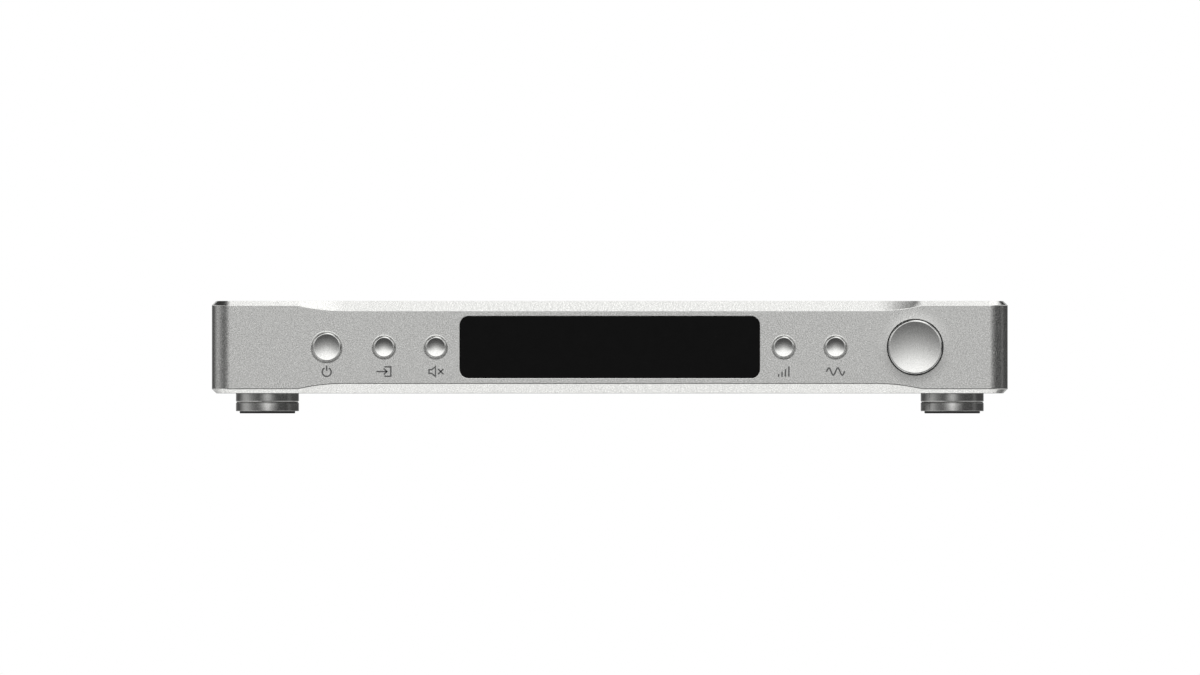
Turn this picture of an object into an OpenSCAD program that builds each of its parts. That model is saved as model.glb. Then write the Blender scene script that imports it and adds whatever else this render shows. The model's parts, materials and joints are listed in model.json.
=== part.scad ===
// Slim full-width preamplifier: a milled aluminium case with scooped front edges, dished
// buttons, a dished volume knob, a black glass display and round two-ring feet.
// Sizes are in millimetres. The origin is under the middle of the whole part, at the surface
// it stands on; +X is to the right seen from the front, +Y is towards the rear, +Z is up.

/* [Case] */
// Width of the case across its side panels
body_w = 430; // [424:1:450]
// Height of the case without its feet
body_h = 50; // [48:0.5:56]
// Depth of the case from front face to rear face
body_d = 300; // [290:1:340]
// Radius of the four upright corners
corner_r = 10; // [8:0.5:12]
// Chamfer round the top and bottom edges
edge_chamfer = 2.4; // [1.5:0.1:2.6]
// Thickness of the front panel
front_t = 16; // [15:0.5:20]
// Wall between the front face and the pockets milled behind it
front_wall = 6; // [5.5:0.25:7]
// Thickness of the side panels
side_t = 12; // [11:0.5:14]
// Thickness of the top cover
cover_t = 3; // [2.8:0.1:4]
// Thickness of the bottom plate
base_t = 3; // [2.8:0.1:4]
// Thickness of the rear panel
rear_t = 3; // [2:0.25:4]
// Thickness of the folded sheet behind the front panel
sheet_t = 1.5; // [1:0.1:2]
// Visible seam between case panels
seam = 0.2; // [0.1:0.05:0.4]
// Width of the side panel's step that carries the top cover and bottom plate
ledge_w = 7; // [6.5:0.25:8]

/* [Scooped edges] */
// Height of the large chamfer along the middle of the front's top and bottom edges
scoop_chamfer = 5.3; // [3.5:0.1:6]
// Half the length of the straight part of the scoop
scoop_half = 144; // [120:1:160]
// Radius of the curve that ends the scoop, square to the chamfer
scoop_r = 150; // [100:5:200]

/* [Display] */
// Width of the black window
window_w = 161.6; // [140:0.2:166]
// Height of the black window
window_h = 33; // [28:0.5:34]
// Corner radius of the black window
window_r = 4.4; // [2:0.2:6]
// Thickness of the window glass
window_t = 3; // [2:0.25:4]
// Width of the shelf that the window is bonded to
window_shelf = 3.2; // [2:0.2:5]

/* [Buttons] */
// Distance from the window's end to the middle of the inner small button
inner_gap = 13.2; // [12.5:0.1:16]
// Distance between the two small buttons on each side
small_pitch = 28; // [25:0.5:30]
// Distance from the outer small button to the power button
power_pitch = 31; // [28:0.5:34]
// Diameter of the power button
power_d = 15.6; // [12:0.2:18]
// Diameter of the small buttons
small_d = 11.6; // [9:0.2:13]
// Gap round a button in its hole
button_gap = 0.3; // [0.2:0.05:0.5]
// How far a button stands out of the front face
button_proud = 2.2; // [1:0.2:4]
// Depth of the dish in the power button
power_dish = 0.6; // [0.4:0.1:1.2]
// Depth of the dish in a small button
small_dish = 0.6; // [0.4:0.1:1]
// Width of the rim round each dish
rim_w = 0.95; // [0.7:0.05:1.5]
// Travel of a button
button_travel = 0.8; // [0.3:0.1:1.2]
// Width of the flange that holds a button in
flange_w = 1.6; // [1:0.1:2]
// Diameter of the plunger behind a button
plunger_d = 5; // [4:0.1:6]

/* [Volume knob] */
// Distance from the outer small button to the knob
knob_pitch = 43; // [39:0.5:46]
// Diameter of the knob
knob_d = 29.2; // [24:0.2:31]
// Gap round the knob in its hole
knob_gap = 0.6; // [0.3:0.05:0.9]
// How far the knob stands out of the front face
knob_proud = 11; // [9:0.5:14]
// Depth of the dish in the knob
knob_dish = 0.8; // [0.6:0.1:1.6]
// Diameter of the encoder shaft
shaft_d = 6; // [5:0.1:6.5]
// Outside diameter of the encoder's threaded bush
bush_d = 9; // [8:0.25:11]

/* [Feet] */
// Diameter of a foot
foot_d = 34; // [28:0.5:38]
// Height of a foot's metal body
foot_h = 9.6; // [8.6:0.1:14]
// Distance of a foot's axis from the side of the case
foot_side = 30; // [27:0.5:39]
// Distance of a foot's axis from the front or rear face
foot_inset = 37; // [32:0.5:45]
// Depth of the groove round a foot
groove_depth = 0.8; // [0.4:0.1:1.2]
// Diameter of the rubber pad
pad_d = 30; // [22:0.5:31]
// How far the pad stands out below the foot
pad_proud = 1.2; // [0.8:0.1:2]

/* [Rear connectors] */
// Distance from the left side panel to the middle of the mains inlet
inlet_gap = 37; // [33:0.5:41]
// Distance from the mains inlet to the mains rocker switch
rocker_gap = 40; // [37:0.5:42]
// Distance from the rocker switch to the middle of the trigger sockets
trigger_gap = 34; // [30:0.5:36]
// Distance between the two trigger sockets
trigger_pitch = 15; // [13:0.5:18]
// Bore of a trigger socket
trigger_bore = 3.6; // [3.5:0.05:3.8]
// Distance from the middle of the trigger sockets to the first balanced socket
xlr_gap = 40; // [34:0.5:42]
// Distance between neighbouring balanced sockets
xlr_pitch = 33; // [30:0.5:34]
// Distance from the last balanced socket to the first column of phono sockets
rca_gap = 49; // [36:0.5:50]
// Distance between columns of phono sockets
rca_pitch = 28; // [20:0.5:29]
// Height between the two rows of phono sockets
rca_row_pitch = 20; // [18:0.5:22]
// Diameter of a phono socket's outer barrel
rca_barrel_d = 8.3; // [8:0.1:8.6]
// Bore of a phono socket's centre contact
rca_bore = 3.3; // [3.2:0.05:3.6]
// Depth of that bore
rca_depth = 8; // [7:0.5:9]

/* [Inside] */
// Diameter of the toroidal transformer
toroid_d = 90; // [70:1:94]
// Height of the toroidal transformer
toroid_h = 32; // [24:0.5:33]
// Diameter of the hole through the toroidal transformer
toroid_hole = 34; // [26:1:40]
// Thickness of a circuit board
board_t = 1.6; // [1:0.1:2]
// Height of the circuit boards above the bottom plate
board_lift = 8; // [6:0.5:9]
// Diameter of a reservoir capacitor
cap_d = 22; // [16:0.5:24]
// Height of a reservoir capacitor
cap_h = 28; // [20:0.5:28]

/* [Hidden] */
$fn = 64;

// Small sizes shared by fits, screws and cuts
eps = 1;                 // how far a cutter runs past the face it cuts
slide_play = 0.1;        // clearance on the diameter of a sliding fit
seat_play = 0.2;         // clearance on the width of a seated piece
screw_play = 0.1;        // clearance on the diameter of a screw in its tapped hole
hole_play = 0.4;         // clearance on the diameter of a screw in a through hole

// Heights above the surface that the part stands on
foot_total = foot_h + pad_proud;
base_z = foot_total;
floor_z = base_z + base_t;
mid_z = base_z + body_h / 2;
top_z = base_z + body_h;
roof_z = top_z - cover_t;
board_z = floor_z + board_lift;
board_top = board_z + board_t;

// Places across and along the case
inner_x_half = body_w / 2 - side_t;
inner_x = window_w / 2 + inner_gap;
outer_x = inner_x + small_pitch;
power_x = outer_x + power_pitch;
knob_x = outer_x + knob_pitch;
foot_x = body_w / 2 - foot_side;
inlet_x = inner_x_half - inlet_gap;
rocker_x = inlet_x - rocker_gap;
trigger_x = rocker_x - trigger_gap;
xlr_x = xlr_gap - trigger_x;
rca_x = xlr_x + 3 * xlr_pitch + rca_gap;
rear_in = body_d - rear_t;
sheet_y = front_t + sheet_t;
switch_depth = 6.5;
panel_board_gap = 8.5;                      // from the folded sheet to a control board
panel_board_y = sheet_y + panel_board_gap;
connector_proud = 12.5;                     // how far the phono sockets stand out
connector_tail = 25;                        // and how far their tails reach in
front_y = -(body_d + connector_proud - knob_proud) / 2;

// Screws: shank diameter, head diameter and head height
m3 = [3, 5.6, 1.7];
m4 = [4, 7, 4];
m6_flat = [6, 10, 2.4];

button_xs = [-power_x, -outer_x, -inner_x, inner_x, outer_x];
button_ds = [power_d, small_d, small_d, small_d, small_d];
button_dishes = [power_dish, small_dish, small_dish, small_dish, small_dish];
xlr_out_xs = [xlr_x, xlr_x + xlr_pitch];
xlr_in_xs = [xlr_x + 2 * xlr_pitch, xlr_x + 3 * xlr_pitch];
rca_places = [for (i = [0 : 2], s = [-1, 1])
    [rca_x + i * rca_pitch, mid_z + s * rca_row_pitch / 2]];
foot_ys = [foot_inset, body_d - foot_inset];

// Moves a piece from the case's own places, front face at y = 0, to the part's origin.
module placed() translate([0, front_y, 0]) children();

// Points of a rectangle with round corners, centred on the origin.
function rounded(w, h, r, n = 8) = [for (q = [0 : 3], i = [0 : n])
    let (a = 90 * q + 90 * i / n, sx = (q == 0 || q == 3) ? 1 : -1, sy = q < 2 ? 1 : -1)
    [sx * (w / 2 - r) + r * cos(a), sy * (h / 2 - r) + r * sin(a)]];

// A plate with round corners that stands across Y, from y0 to y1.
module upright_plate(w, h, r, y0, y1)
    translate([0, y1, 0]) rotate([90, 0, 0]) linear_extrude(y1 - y0) polygon(rounded(w, h, r));

// A block centred in X and Z that runs from y0 to y1.
module block_y(w, h, y0, y1)
    translate([-w / 2, y0, -h / 2]) cube([w, y1 - y0, h]);

// A round bar along Y from y0 to y1.
module rod_y(d, y0, y1)
    translate([0, y0, 0]) rotate([-90, 0, 0]) cylinder(d = d, h = y1 - y0);

// A hexagonal bar along Y from y0 to y1, measured across its flats.
module hex_y(flats, y0, y1)
    translate([0, y0, 0]) rotate([-90, 0, 0])
        cylinder(d = flats / cos(30), h = y1 - y0, $fn = 6);

// Cap-head screw along Y: the head starts at y_head and the shank ends at y_tip.
module cap_screw_y(size, y_head, y_tip) {
    way = y_tip > y_head ? 1 : -1;
    translate([0, y_head, 0]) rotate([-90 * way, 0, 0]) difference() {
        union() {
            cylinder(d = size[0] - screw_play, h = abs(y_tip - y_head));
            cylinder(d = size[1], h = size[2]);
        }
        translate([0, 0, -eps]) cylinder(d = size[0] * 0.7, h = eps + size[2] * 0.6, $fn = 6);
    }
}

// Countersunk screw that points down from z = 0, its head flush with that plane.
module flat_screw(size, length)
    difference() {
        union() {
            translate([0, 0, -length]) cylinder(d = size[0] - screw_play, h = length);
            translate([0, 0, -size[2]]) cylinder(d1 = size[0] - screw_play, d2 = size[1], h = size[2]);
        }
        translate([0, 0, -size[2] * 0.7]) cylinder(d = size[0] * 0.7, h = size[2], $fn = 6);
    }

// The seat of a countersunk screw in a plate whose face is at z = 0.
module flat_screw_seat(size, depth) {
    translate([0, 0, -depth]) cylinder(d = size[0] + hole_play, h = depth + eps);
    translate([0, 0, -size[2]]) cylinder(d1 = size[0] + hole_play - screw_play,
        d2 = size[1] + seat_play, h = size[2]);
    translate([0, 0, -0.01]) cylinder(d = size[1] + seat_play, h = eps);
}

// Case

// Half section of the case's chamfered edge: radius outwards, height upwards.
module edge_section(reach)
    polygon([[0, 0], [reach - edge_chamfer, 0], [reach, edge_chamfer],
        [reach, body_h - edge_chamfer], [reach - edge_chamfer, body_h], [0, body_h]]);

// Whole section of the case, span wide, from the rear face forwards or across the width.
module whole_section(span)
    polygon([[edge_chamfer, 0], [span - edge_chamfer, 0], [span, edge_chamfer],
        [span, body_h - edge_chamfer], [span - edge_chamfer, body_h], [edge_chamfer, body_h],
        [0, body_h - edge_chamfer], [0, edge_chamfer]]);

// The whole outside form of the case, without the scoops.
module case_form()
    translate([0, 0, base_z]) {
        translate([-(body_w / 2 - corner_r), 0, 0]) rotate([90, 0, 90])
            linear_extrude(body_w - 2 * corner_r) whole_section(body_d);
        translate([-body_w / 2, body_d - corner_r, 0]) rotate([90, 0, 0])
            linear_extrude(body_d - 2 * corner_r) whole_section(body_w);
        for (sx = [-1, 1], back = [0, 1])
            translate([sx * (body_w / 2 - corner_r), back ? body_d - corner_r : corner_r, 0])
                rotate([0, 0, back ? (sx > 0 ? 0 : 90) : (sx > 0 ? 270 : 180)])
                    rotate_extrude(angle = 90) edge_section(corner_r);
    }

// Keeps the part of its children that lies inside the case's outside form.
module in_case()
    intersection() {
        children();
        case_form();
    }

// Tool that mills one scoop: flat in the middle, with a long curve at each end. Its cutting
// face leans at 45 degrees, like the chamfer that it deepens.
module scoop_tool() {
    depth = (scoop_chamfer - edge_chamfer) / sqrt(2);
    run = scoop_chamfer * 2 + 10;
    rotate([45, 0, 0]) rotate([90, 0, 0])
        translate([0, 0, -run]) linear_extrude(2 * run)
            translate([0, -scoop_chamfer / sqrt(2)]) {
                translate([-scoop_half, 0]) square([2 * scoop_half, depth + 4]);
                intersection() {
                    for (s = [-1, 1]) translate([s * scoop_half, scoop_r]) circle(r = scoop_r);
                    translate([-body_w / 2, 0]) square([body_w, depth + 4]);
                }
            }
}

// Where the cap screws that hold the front panel go in: [x, z] from the middle.
panel_screw_inset = 17;
panel_screw_z = 14;
panel_screw_depth = 8;
panel_screw_x = body_w / 2 - panel_screw_inset;
panel_screw_mid_x = (outer_x + inner_x) / 2;
panel_screws = [for (x = [-panel_screw_x, -panel_screw_mid_x, panel_screw_mid_x, panel_screw_x],
    z = [-panel_screw_z, panel_screw_z]) [x, z]];

// Display pocket behind the window
pocket_step = [3, 1.5];         // how far it reaches past the window's ends and edges
pocket_w = window_w + 2 * pocket_step[0];
pocket_h = window_h + 2 * pocket_step[1];

// Pockets behind the knob and the buttons
knob_pocket_step = 2.5;
flange_gap = 0.5;
knob_hole_d = knob_d + 2 * knob_gap;
knob_pocket_d = knob_hole_d + 2 * knob_pocket_step;

function flange_d(i) = button_ds[i] + 2 * flange_w;
function pocket_d(i) = flange_d(i) + 2 * flange_gap;

module front_panel() color("silver") difference() {
    in_case() translate([-body_w / 2, -eps, base_z - eps])
        cube([body_w, front_t + eps, body_h + 2 * eps]);
    translate([0, 0, top_z]) scoop_tool();
    translate([0, 0, base_z]) mirror([0, 0, 1]) scoop_tool();
    translate([0, 0, mid_z]) {
        // window seat, the opening to look through and the pocket for the display
        upright_plate(window_w + 2 * seam, window_h + 2 * seam, window_r + seam, -eps, window_t);
        upright_plate(window_w - 2 * window_shelf, window_h - 2 * window_shelf, window_r / 2,
            window_t - eps, front_wall + eps);
        upright_plate(pocket_w, pocket_h, window_r, front_wall, front_t + eps);
        for (i = [0 : 4]) translate([button_xs[i], 0, 0]) {
            rod_y(button_ds[i] + 2 * button_gap, -eps, front_wall + eps);
            rod_y(pocket_d(i), front_wall, front_t + eps);
        }
        translate([knob_x, 0, 0]) {
            rod_y(knob_hole_d, -eps, front_wall + eps);
            rod_y(knob_pocket_d, front_wall, front_t + eps);
        }
        for (p = panel_screws) translate([p[0], 0, p[1]])
            rod_y(m4[0], front_t - panel_screw_depth, front_t + eps);
    }
}

// Length positions of the screws along each side panel
edge_screw_inset = 14;
edge_screw_count = 4;
edge_screw_step = (body_d - front_t - 2 * edge_screw_inset) / (edge_screw_count - 1);
edge_screw_ys = [for (i = [0 : edge_screw_count - 1]) front_t + edge_screw_inset + i * edge_screw_step];
edge_screw_x = inner_x_half + ledge_w / 2;
edge_screw_length = 9;

module side_panel(side) color("silver") difference() {
    in_case() translate([side > 0 ? inner_x_half : -body_w / 2 - eps, front_t + seam, base_z - eps])
        cube([side_t + eps, body_d, body_h + 2 * eps]);
    // steps for the cover and the bottom plate
    for (z = [roof_z, base_z - eps])
        translate([side > 0 ? inner_x_half - eps : -inner_x_half - ledge_w, front_t - eps, z])
            cube([ledge_w + eps, body_d, (z == roof_z ? cover_t : base_t) + eps]);
    for (y = edge_screw_ys) translate([side * edge_screw_x, y, 0]) {
        translate([0, 0, top_z - edge_screw_length - 1]) cylinder(d = m3[0], h = edge_screw_length + 2);
        translate([0, 0, base_z - 1]) cylinder(d = m3[0], h = edge_screw_length + 2);
    }
}

// Ventilation slots in the top cover: two banks near the rear
slot_count = 14;
slot_w = 3;
slot_l = 52;
slot_pitch = 7;
slot_bank_x = 108;
slot_inset = 78;
slot_y = body_d - slot_inset;

module slot_bank()
    for (i = [0 : slot_count - 1])
        translate([(i - (slot_count - 1) / 2) * slot_pitch, 0])
            for (s = [-1, 0, 1])
                if (s == 0) square([slot_w, slot_l - slot_w], center = true);
                else translate([0, s * (slot_l - slot_w) / 2]) circle(d = slot_w);

// Cover or bottom plate, lying between z0 and z1, with the outline it has inside the seams.
module flat_panel(z0, z1)
    in_case() translate([-inner_x_half - ledge_w + seam, front_t + seam, z0])
        cube([2 * (inner_x_half + ledge_w - seam), body_d, z1 - z0]);

module top_cover() color("silver") difference() {
    flat_panel(roof_z, top_z + eps);
    for (s = [-1, 1])
        translate([s * slot_bank_x, slot_y, roof_z - eps]) linear_extrude(cover_t + 2 * eps) slot_bank();
    for (s = [-1, 1], y = edge_screw_ys)
        translate([s * edge_screw_x, y, top_z]) flat_screw_seat(m3, cover_t + eps);
}

// Place of the transformer, from the left side panel and the rear panel
toroid_side_gap = 10;
toroid_rear_gap = 40;
toroid_at = [toroid_side_gap + toroid_d / 2 - inner_x_half, rear_in - toroid_rear_gap - toroid_d / 2];

module bottom_plate() color("dimgray") difference() {
    flat_panel(base_z - eps, floor_z);
    for (s = [-1, 1], y = edge_screw_ys)
        translate([s * edge_screw_x, y, base_z]) rotate([180, 0, 0]) flat_screw_seat(m3, base_t + eps);
    for (s = [-1, 1], y = foot_ys) translate([s * foot_x, y, base_z - eps])
        cylinder(d = m4[0] + hole_play, h = base_t + 2 * eps);
    translate([toroid_at[0], toroid_at[1], base_z]) rotate([180, 0, 0])
        flat_screw_seat(m6_flat, base_t + eps);
}

// Rear panel

xlr_barrel_d = 23;
xlr_flange = [26, 31, 2];
xlr_screw = [9.5, 12];
inlet_flange = [50, 31, 2.5];
inlet_body = [30, 29];
inlet_screw_x = 20;
rocker_body = [13, 19.4];
rca_tail_d = 7;
rca_sleeve_d = 9.4;
trigger_nose_d = 6;
latch_block = [9, 14.6];      // width of the latch's housing, and its top above the axis

module rear_panel() color("dimgray") difference() {
    translate([-inner_x_half + seam, rear_in, floor_z])
        cube([2 * (inner_x_half - seam), rear_t, roof_z - floor_z]);
    translate([0, 0, mid_z]) {
        translate([-inlet_x, 0, 0]) {
            block_y(inlet_body[0] + seat_play, inlet_body[1] + seat_play, rear_in - eps, body_d + eps);
            for (s = [-1, 1]) translate([s * inlet_screw_x, 0, 0])
                rod_y(m3[0], rear_in - eps, body_d + eps);
        }
        translate([-rocker_x, 0, 0])
            block_y(rocker_body[0] + seat_play, rocker_body[1] + seat_play, rear_in - eps, body_d + eps);
        for (s = [-1, 1]) translate([-trigger_x + s * trigger_pitch / 2, 0, 0])
            rod_y(trigger_nose_d + seat_play, rear_in - eps, body_d + eps);
        for (x = concat(xlr_out_xs, xlr_in_xs)) translate([x, 0, 0]) {
            rod_y(xlr_barrel_d + seat_play, rear_in - eps, body_d + eps);
            for (s = [-1, 1]) translate([s * xlr_screw[0], 0, s * xlr_screw[1]])
                rod_y(m3[0], rear_in - eps, body_d + eps);
        }
        for (x = xlr_in_xs)
            translate([x - latch_block[0] / 2 - seat_play / 2, rear_in - eps, 0])
                cube([latch_block[0] + seat_play, rear_t + 2 * eps, latch_block[1] + seat_play / 2]);
    }
    for (p = rca_places) translate([p[0], 0, p[1]])
        rod_y(rca_sleeve_d + seat_play, rear_in - eps, body_d + eps);
}

// Folded sheet and brackets

fold_depth = 12;
sheet_top = roof_z - seam;
sheet_bottom = floor_z;
display_slot = [70, 22];
plunger_way = 1;              // clearance round a plunger where it passes the sheet

// Sheet folded back along its top and bottom edges, behind the front panel.
module front_sheet() color("darkgray") difference() {
    translate([-inner_x_half + seam, 0, 0]) rotate([90, 0, 90])
        linear_extrude(2 * (inner_x_half - seam)) polygon([
            [front_t, sheet_bottom], [front_t + fold_depth, sheet_bottom],
            [front_t + fold_depth, sheet_bottom + sheet_t], [sheet_y, sheet_bottom + sheet_t],
            [sheet_y, sheet_top - sheet_t], [front_t + fold_depth, sheet_top - sheet_t],
            [front_t + fold_depth, sheet_top], [front_t, sheet_top]]);
    translate([0, 0, mid_z]) {
        block_y(display_slot[0], display_slot[1], front_t - eps, sheet_y + eps);
        for (x = button_xs) translate([x, 0, 0])
            rod_y(plunger_d + 2 * plunger_way, front_t - eps, sheet_y + eps);
        translate([knob_x, 0, 0]) rod_y(bush_d + seat_play, front_t - eps, sheet_y + eps);
        for (p = panel_screws) translate([p[0], 0, p[1]])
            rod_y(m4[0] + hole_play, front_t - eps, sheet_y + eps);
    }
}

bracket_leg = 9;
bracket_h = 17;
bracket_t = 2.5;

// Angle that ties a side panel to the folded sheet or to the rear panel.
module bracket()
    translate([0, 0, -bracket_h / 2]) linear_extrude(bracket_h)
        polygon([[0, 0], [bracket_leg, 0], [bracket_leg, bracket_t],
            [bracket_t, bracket_t], [bracket_t, bracket_leg], [0, bracket_leg]]);

module corner_brackets() color("silver")
    for (sx = [-1, 1], back = [0, 1])
        translate([sx * inner_x_half, back ? rear_in : sheet_y, mid_z])
            mirror([sx > 0 ? 1 : 0, 0, 0]) mirror([0, back, 0]) bracket();

// Display

display_gap = 0.3;
glass_inset = [2, 1];         // from the opening's ends and edges to the display
panel_glass = [window_w - 2 * window_shelf - 2 * glass_inset[0],
    window_h - 2 * window_shelf - 2 * glass_inset[1]];
panel_glass_y = front_wall + display_gap;
panel_glass_t = 2.6;
display_board_y = panel_glass_y + panel_glass_t;

module display_window() color("#121212") translate([0, 0, mid_z])
    upright_plate(window_w, window_h, window_r, 0, window_t);

module display_panel() color("black") translate([0, 0, mid_z])
    block_y(panel_glass[0], panel_glass[1], panel_glass_y, display_board_y);

display_plug_proud = 3;       // behind the folded sheet
display_plug_back = sheet_y + display_plug_proud;
display_plug = [40, 8];
pocket_play = 1;              // from the board's edges to the pocket

module display_board() color("darkgreen") translate([0, 0, mid_z]) {
    block_y(pocket_w - 2 * pocket_play, pocket_h - 2 * pocket_play, display_board_y,
        display_board_y + board_t);
    block_y(display_plug[0], display_plug[1], display_board_y + board_t, display_plug_back);
}

// Buttons

rim_round = 0.55;
flange_t = 1.5;
flange_play = 0.1;       // behind the wall, at rest
spigot_d = 3;
spigot_l = 3;
plunger_in = 2.6;             // how far a plunger reaches into its switch
plunger_back = panel_board_y - switch_depth + plunger_in;
rim_steps = 6;

// Front of a round cap, from its middle to its side, as [radius, distance behind the face].
function round_front(d, proud) = concat([[0, -proud]],
    [for (i = [0 : rim_steps]) let (t = 90 * i / rim_steps)
        [d / 2 - rim_round + rim_round * sin(t), rim_round * (1 - cos(t)) - proud]]);

// Ball that cuts the dish into a cap of diameter d.
module dish_ball(d, proud, depth) {
    mouth = d / 2 - rim_w;
    ball_r = (mouth * mouth + depth * depth) / (2 * depth);
    translate([0, depth - proud - ball_r, 0]) sphere(r = ball_r, $fn = 200);
}

cap_back = front_wall + flange_play + flange_t;

module button(i) color("silver") translate([button_xs[i], 0, mid_z]) difference() {
    rotate([-90, 0, 0]) rotate_extrude() polygon(concat(round_front(button_ds[i], button_proud),
        [[button_ds[i] / 2, front_wall + flange_play], [flange_d(i) / 2, front_wall + flange_play],
            [flange_d(i) / 2, cap_back], [0, cap_back]]));
    dish_ball(button_ds[i], button_proud, button_dishes[i]);
    rod_y(spigot_d + slide_play, cap_back - spigot_l - seat_play, cap_back + eps);
}

module plunger(i) color("#202020") translate([button_xs[i], 0, mid_z]) {
    rod_y(plunger_d, cap_back, plunger_back);
    rod_y(spigot_d, cap_back - spigot_l, cap_back + flange_t);
}

guide_l = 5;

// Bushes that guide the plungers, held in the pockets by the folded sheet.
module button_guides() color("#303030")
    for (i = [0 : 4]) translate([button_xs[i], 0, mid_z]) difference() {
        rod_y(pocket_d(i) - seat_play, front_t - guide_l, front_t);
        rod_y(plunger_d + 2 * slide_play, front_t - guide_l - eps, front_t + eps);
    }

switch_w = 9;
switch_room = 0.4;       // left in front of the switch's floor when its button is pressed

module push_switches() color("#282828")
    for (x = button_xs) translate([x, 0, mid_z]) difference() {
        block_y(switch_w, switch_w, panel_board_y - switch_depth, panel_board_y);
        rod_y(plunger_d + 2 * slide_play, panel_board_y - switch_depth - eps,
            plunger_back + button_travel + switch_room);
    }

// Control boards

board_margin = 13;       // from a button's middle to the board's end
board_side_gap = 9;      // from the board's end to the side panel
control_board_h = 36;
left_board = [-power_x - board_margin, -inner_x + board_margin];
right_board = [inner_x - board_margin, inner_x_half - board_side_gap];
panel_spacer_z = 14;
panel_spacer_in = 4;
control_plug = [22, 7, 6];
control_plug_back = panel_board_y + board_t + control_plug[1];

module control_boards() color("darkgreen") translate([0, 0, mid_z])
    for (b = [left_board, right_board]) {
        translate([b[0], panel_board_y, -control_board_h / 2])
            cube([b[1] - b[0], board_t, control_board_h]);
        translate([(b[0] + b[1]) / 2, 0, 0])
            block_y(control_plug[0], control_plug[2], panel_board_y + board_t, control_plug_back);
    }

// Volume knob

knob_back_gap = 1.4;       // from the knob's back to the pocket behind it
knob_back = front_wall - knob_back_gap;
knob_boss_t = 3.5;
knob_boss_d = shaft_d + 2 * knob_boss_t;
knob_skirt_t = 2.3;
knob_floor = 3;            // where the hollow behind the knob's face starts, before the panel
knob_fillet = 1;
knob_edge = 0.4;
knob_face_t = 2.2;         // metal between the dish and the end of the shaft
shaft_tip = knob_dish + knob_face_t - knob_proud;
grub_from_tip = 2.4;
grub_y = shaft_tip + grub_from_tip;
grub_d = 3;
grub_l = 6;
grub_key = [1.5, 2];       // width and depth of its hexagon socket

module volume_knob() color("silver") translate([knob_x, 0, mid_z]) difference() {
    rotate([-90, 0, 0]) rotate_extrude() polygon(concat(round_front(knob_d, knob_proud),
        [[knob_d / 2, knob_back - knob_edge], [knob_d / 2 - knob_edge, knob_back],
            [knob_d / 2 - knob_skirt_t, knob_back],
            [knob_d / 2 - knob_skirt_t, knob_fillet - knob_floor],
            [knob_d / 2 - knob_skirt_t - knob_fillet, -knob_floor], [knob_boss_d / 2, -knob_floor],
            [knob_boss_d / 2, knob_back], [0, knob_back]]));
    dish_ball(knob_d, knob_proud, knob_dish);
    rod_y(shaft_d + slide_play, shaft_tip - seat_play, knob_back + eps);
    translate([0, grub_y, 0]) rotate([180, 0, 0]) cylinder(d = grub_d, h = knob_d);
}

module knob_grub_screw() color("dimgray")
    translate([knob_x, grub_y, mid_z - shaft_d / 2 - slide_play]) rotate([180, 0, 0]) difference() {
        cylinder(d = grub_d - screw_play, h = grub_l);
        translate([0, 0, grub_l - grub_key[1]]) cylinder(d = grub_key[0], h = grub_l, $fn = 6);
    }

encoder_w = 13;
bush_proud = 4;            // how far the threaded bush stands into the front panel's pocket
bush_front = front_t - bush_proud;
nut_t = 2.4;
nut_wall = 2;              // round the bush, measured across the nut's flats
encoder_back_t = 1.2;
shaft_room = 0.3;          // behind the shaft's end
shaft_back = panel_board_y - encoder_back_t - shaft_room;

module encoder_shaft() color("gainsboro") translate([knob_x, 0, mid_z])
    rod_y(shaft_d, shaft_tip, shaft_back);

module encoder() color("gray") translate([knob_x, 0, mid_z]) difference() {
    union() {
        block_y(encoder_w, encoder_w, sheet_y, panel_board_y);
        rod_y(bush_d, bush_front, sheet_y + eps);
    }
    rod_y(shaft_d + slide_play, bush_front - eps, shaft_back + shaft_room);
}

module encoder_nut() color("gold") translate([knob_x, 0, mid_z]) difference() {
    hex_y(bush_d + 2 * nut_wall, front_t - nut_t, front_t);
    rod_y(bush_d + screw_play, front_t - nut_t - eps, front_t + eps);
}

// Feet

pad_recess = 2;
foot_edge = 0.35;
pad_edge = 0.5;
groove_z = 4.7;                // middle of the groove below the case
foot_bore = m4[0] + hole_play;
head_room = 0.5;               // round and above a sunk screw head
foot_counterbore = [m4[1] + 2 * head_room, m4[2] + head_room];

module each_foot() for (sx = [-1, 1], y = foot_ys) translate([sx * foot_x, y, 0]) children();

// Turned foot with a groove round it and a recess for its pad and screw head.
module feet() color("gray") each_foot() translate([0, 0, pad_proud]) rotate_extrude() polygon([
    [foot_bore / 2, pad_recess + foot_counterbore[1]],
    [foot_counterbore[0] / 2, pad_recess + foot_counterbore[1]],
    [foot_counterbore[0] / 2, pad_recess], [pad_d / 2 + seat_play / 2, pad_recess],
    [pad_d / 2 + seat_play / 2, 0], [foot_d / 2 - foot_edge, 0], [foot_d / 2, foot_edge],
    [foot_d / 2, foot_h - groove_z - groove_depth], [foot_d / 2 - groove_depth, foot_h - groove_z],
    [foot_d / 2, foot_h - groove_z + groove_depth], [foot_d / 2, foot_h], [foot_bore / 2, foot_h]]);

module foot_pads() color("#181818") each_foot() rotate_extrude() polygon([
    [foot_counterbore[0] / 2, 0], [pad_d / 2 - pad_edge, 0], [pad_d / 2, pad_edge],
    [pad_d / 2, pad_proud + pad_recess], [foot_counterbore[0] / 2, pad_proud + pad_recess]]);

foot_nut = [7, 3.2];
screw_end = 1;                 // how far a screw's end stands out of its nut
foot_seat_z = pad_proud + pad_recess + foot_counterbore[1];

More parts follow.
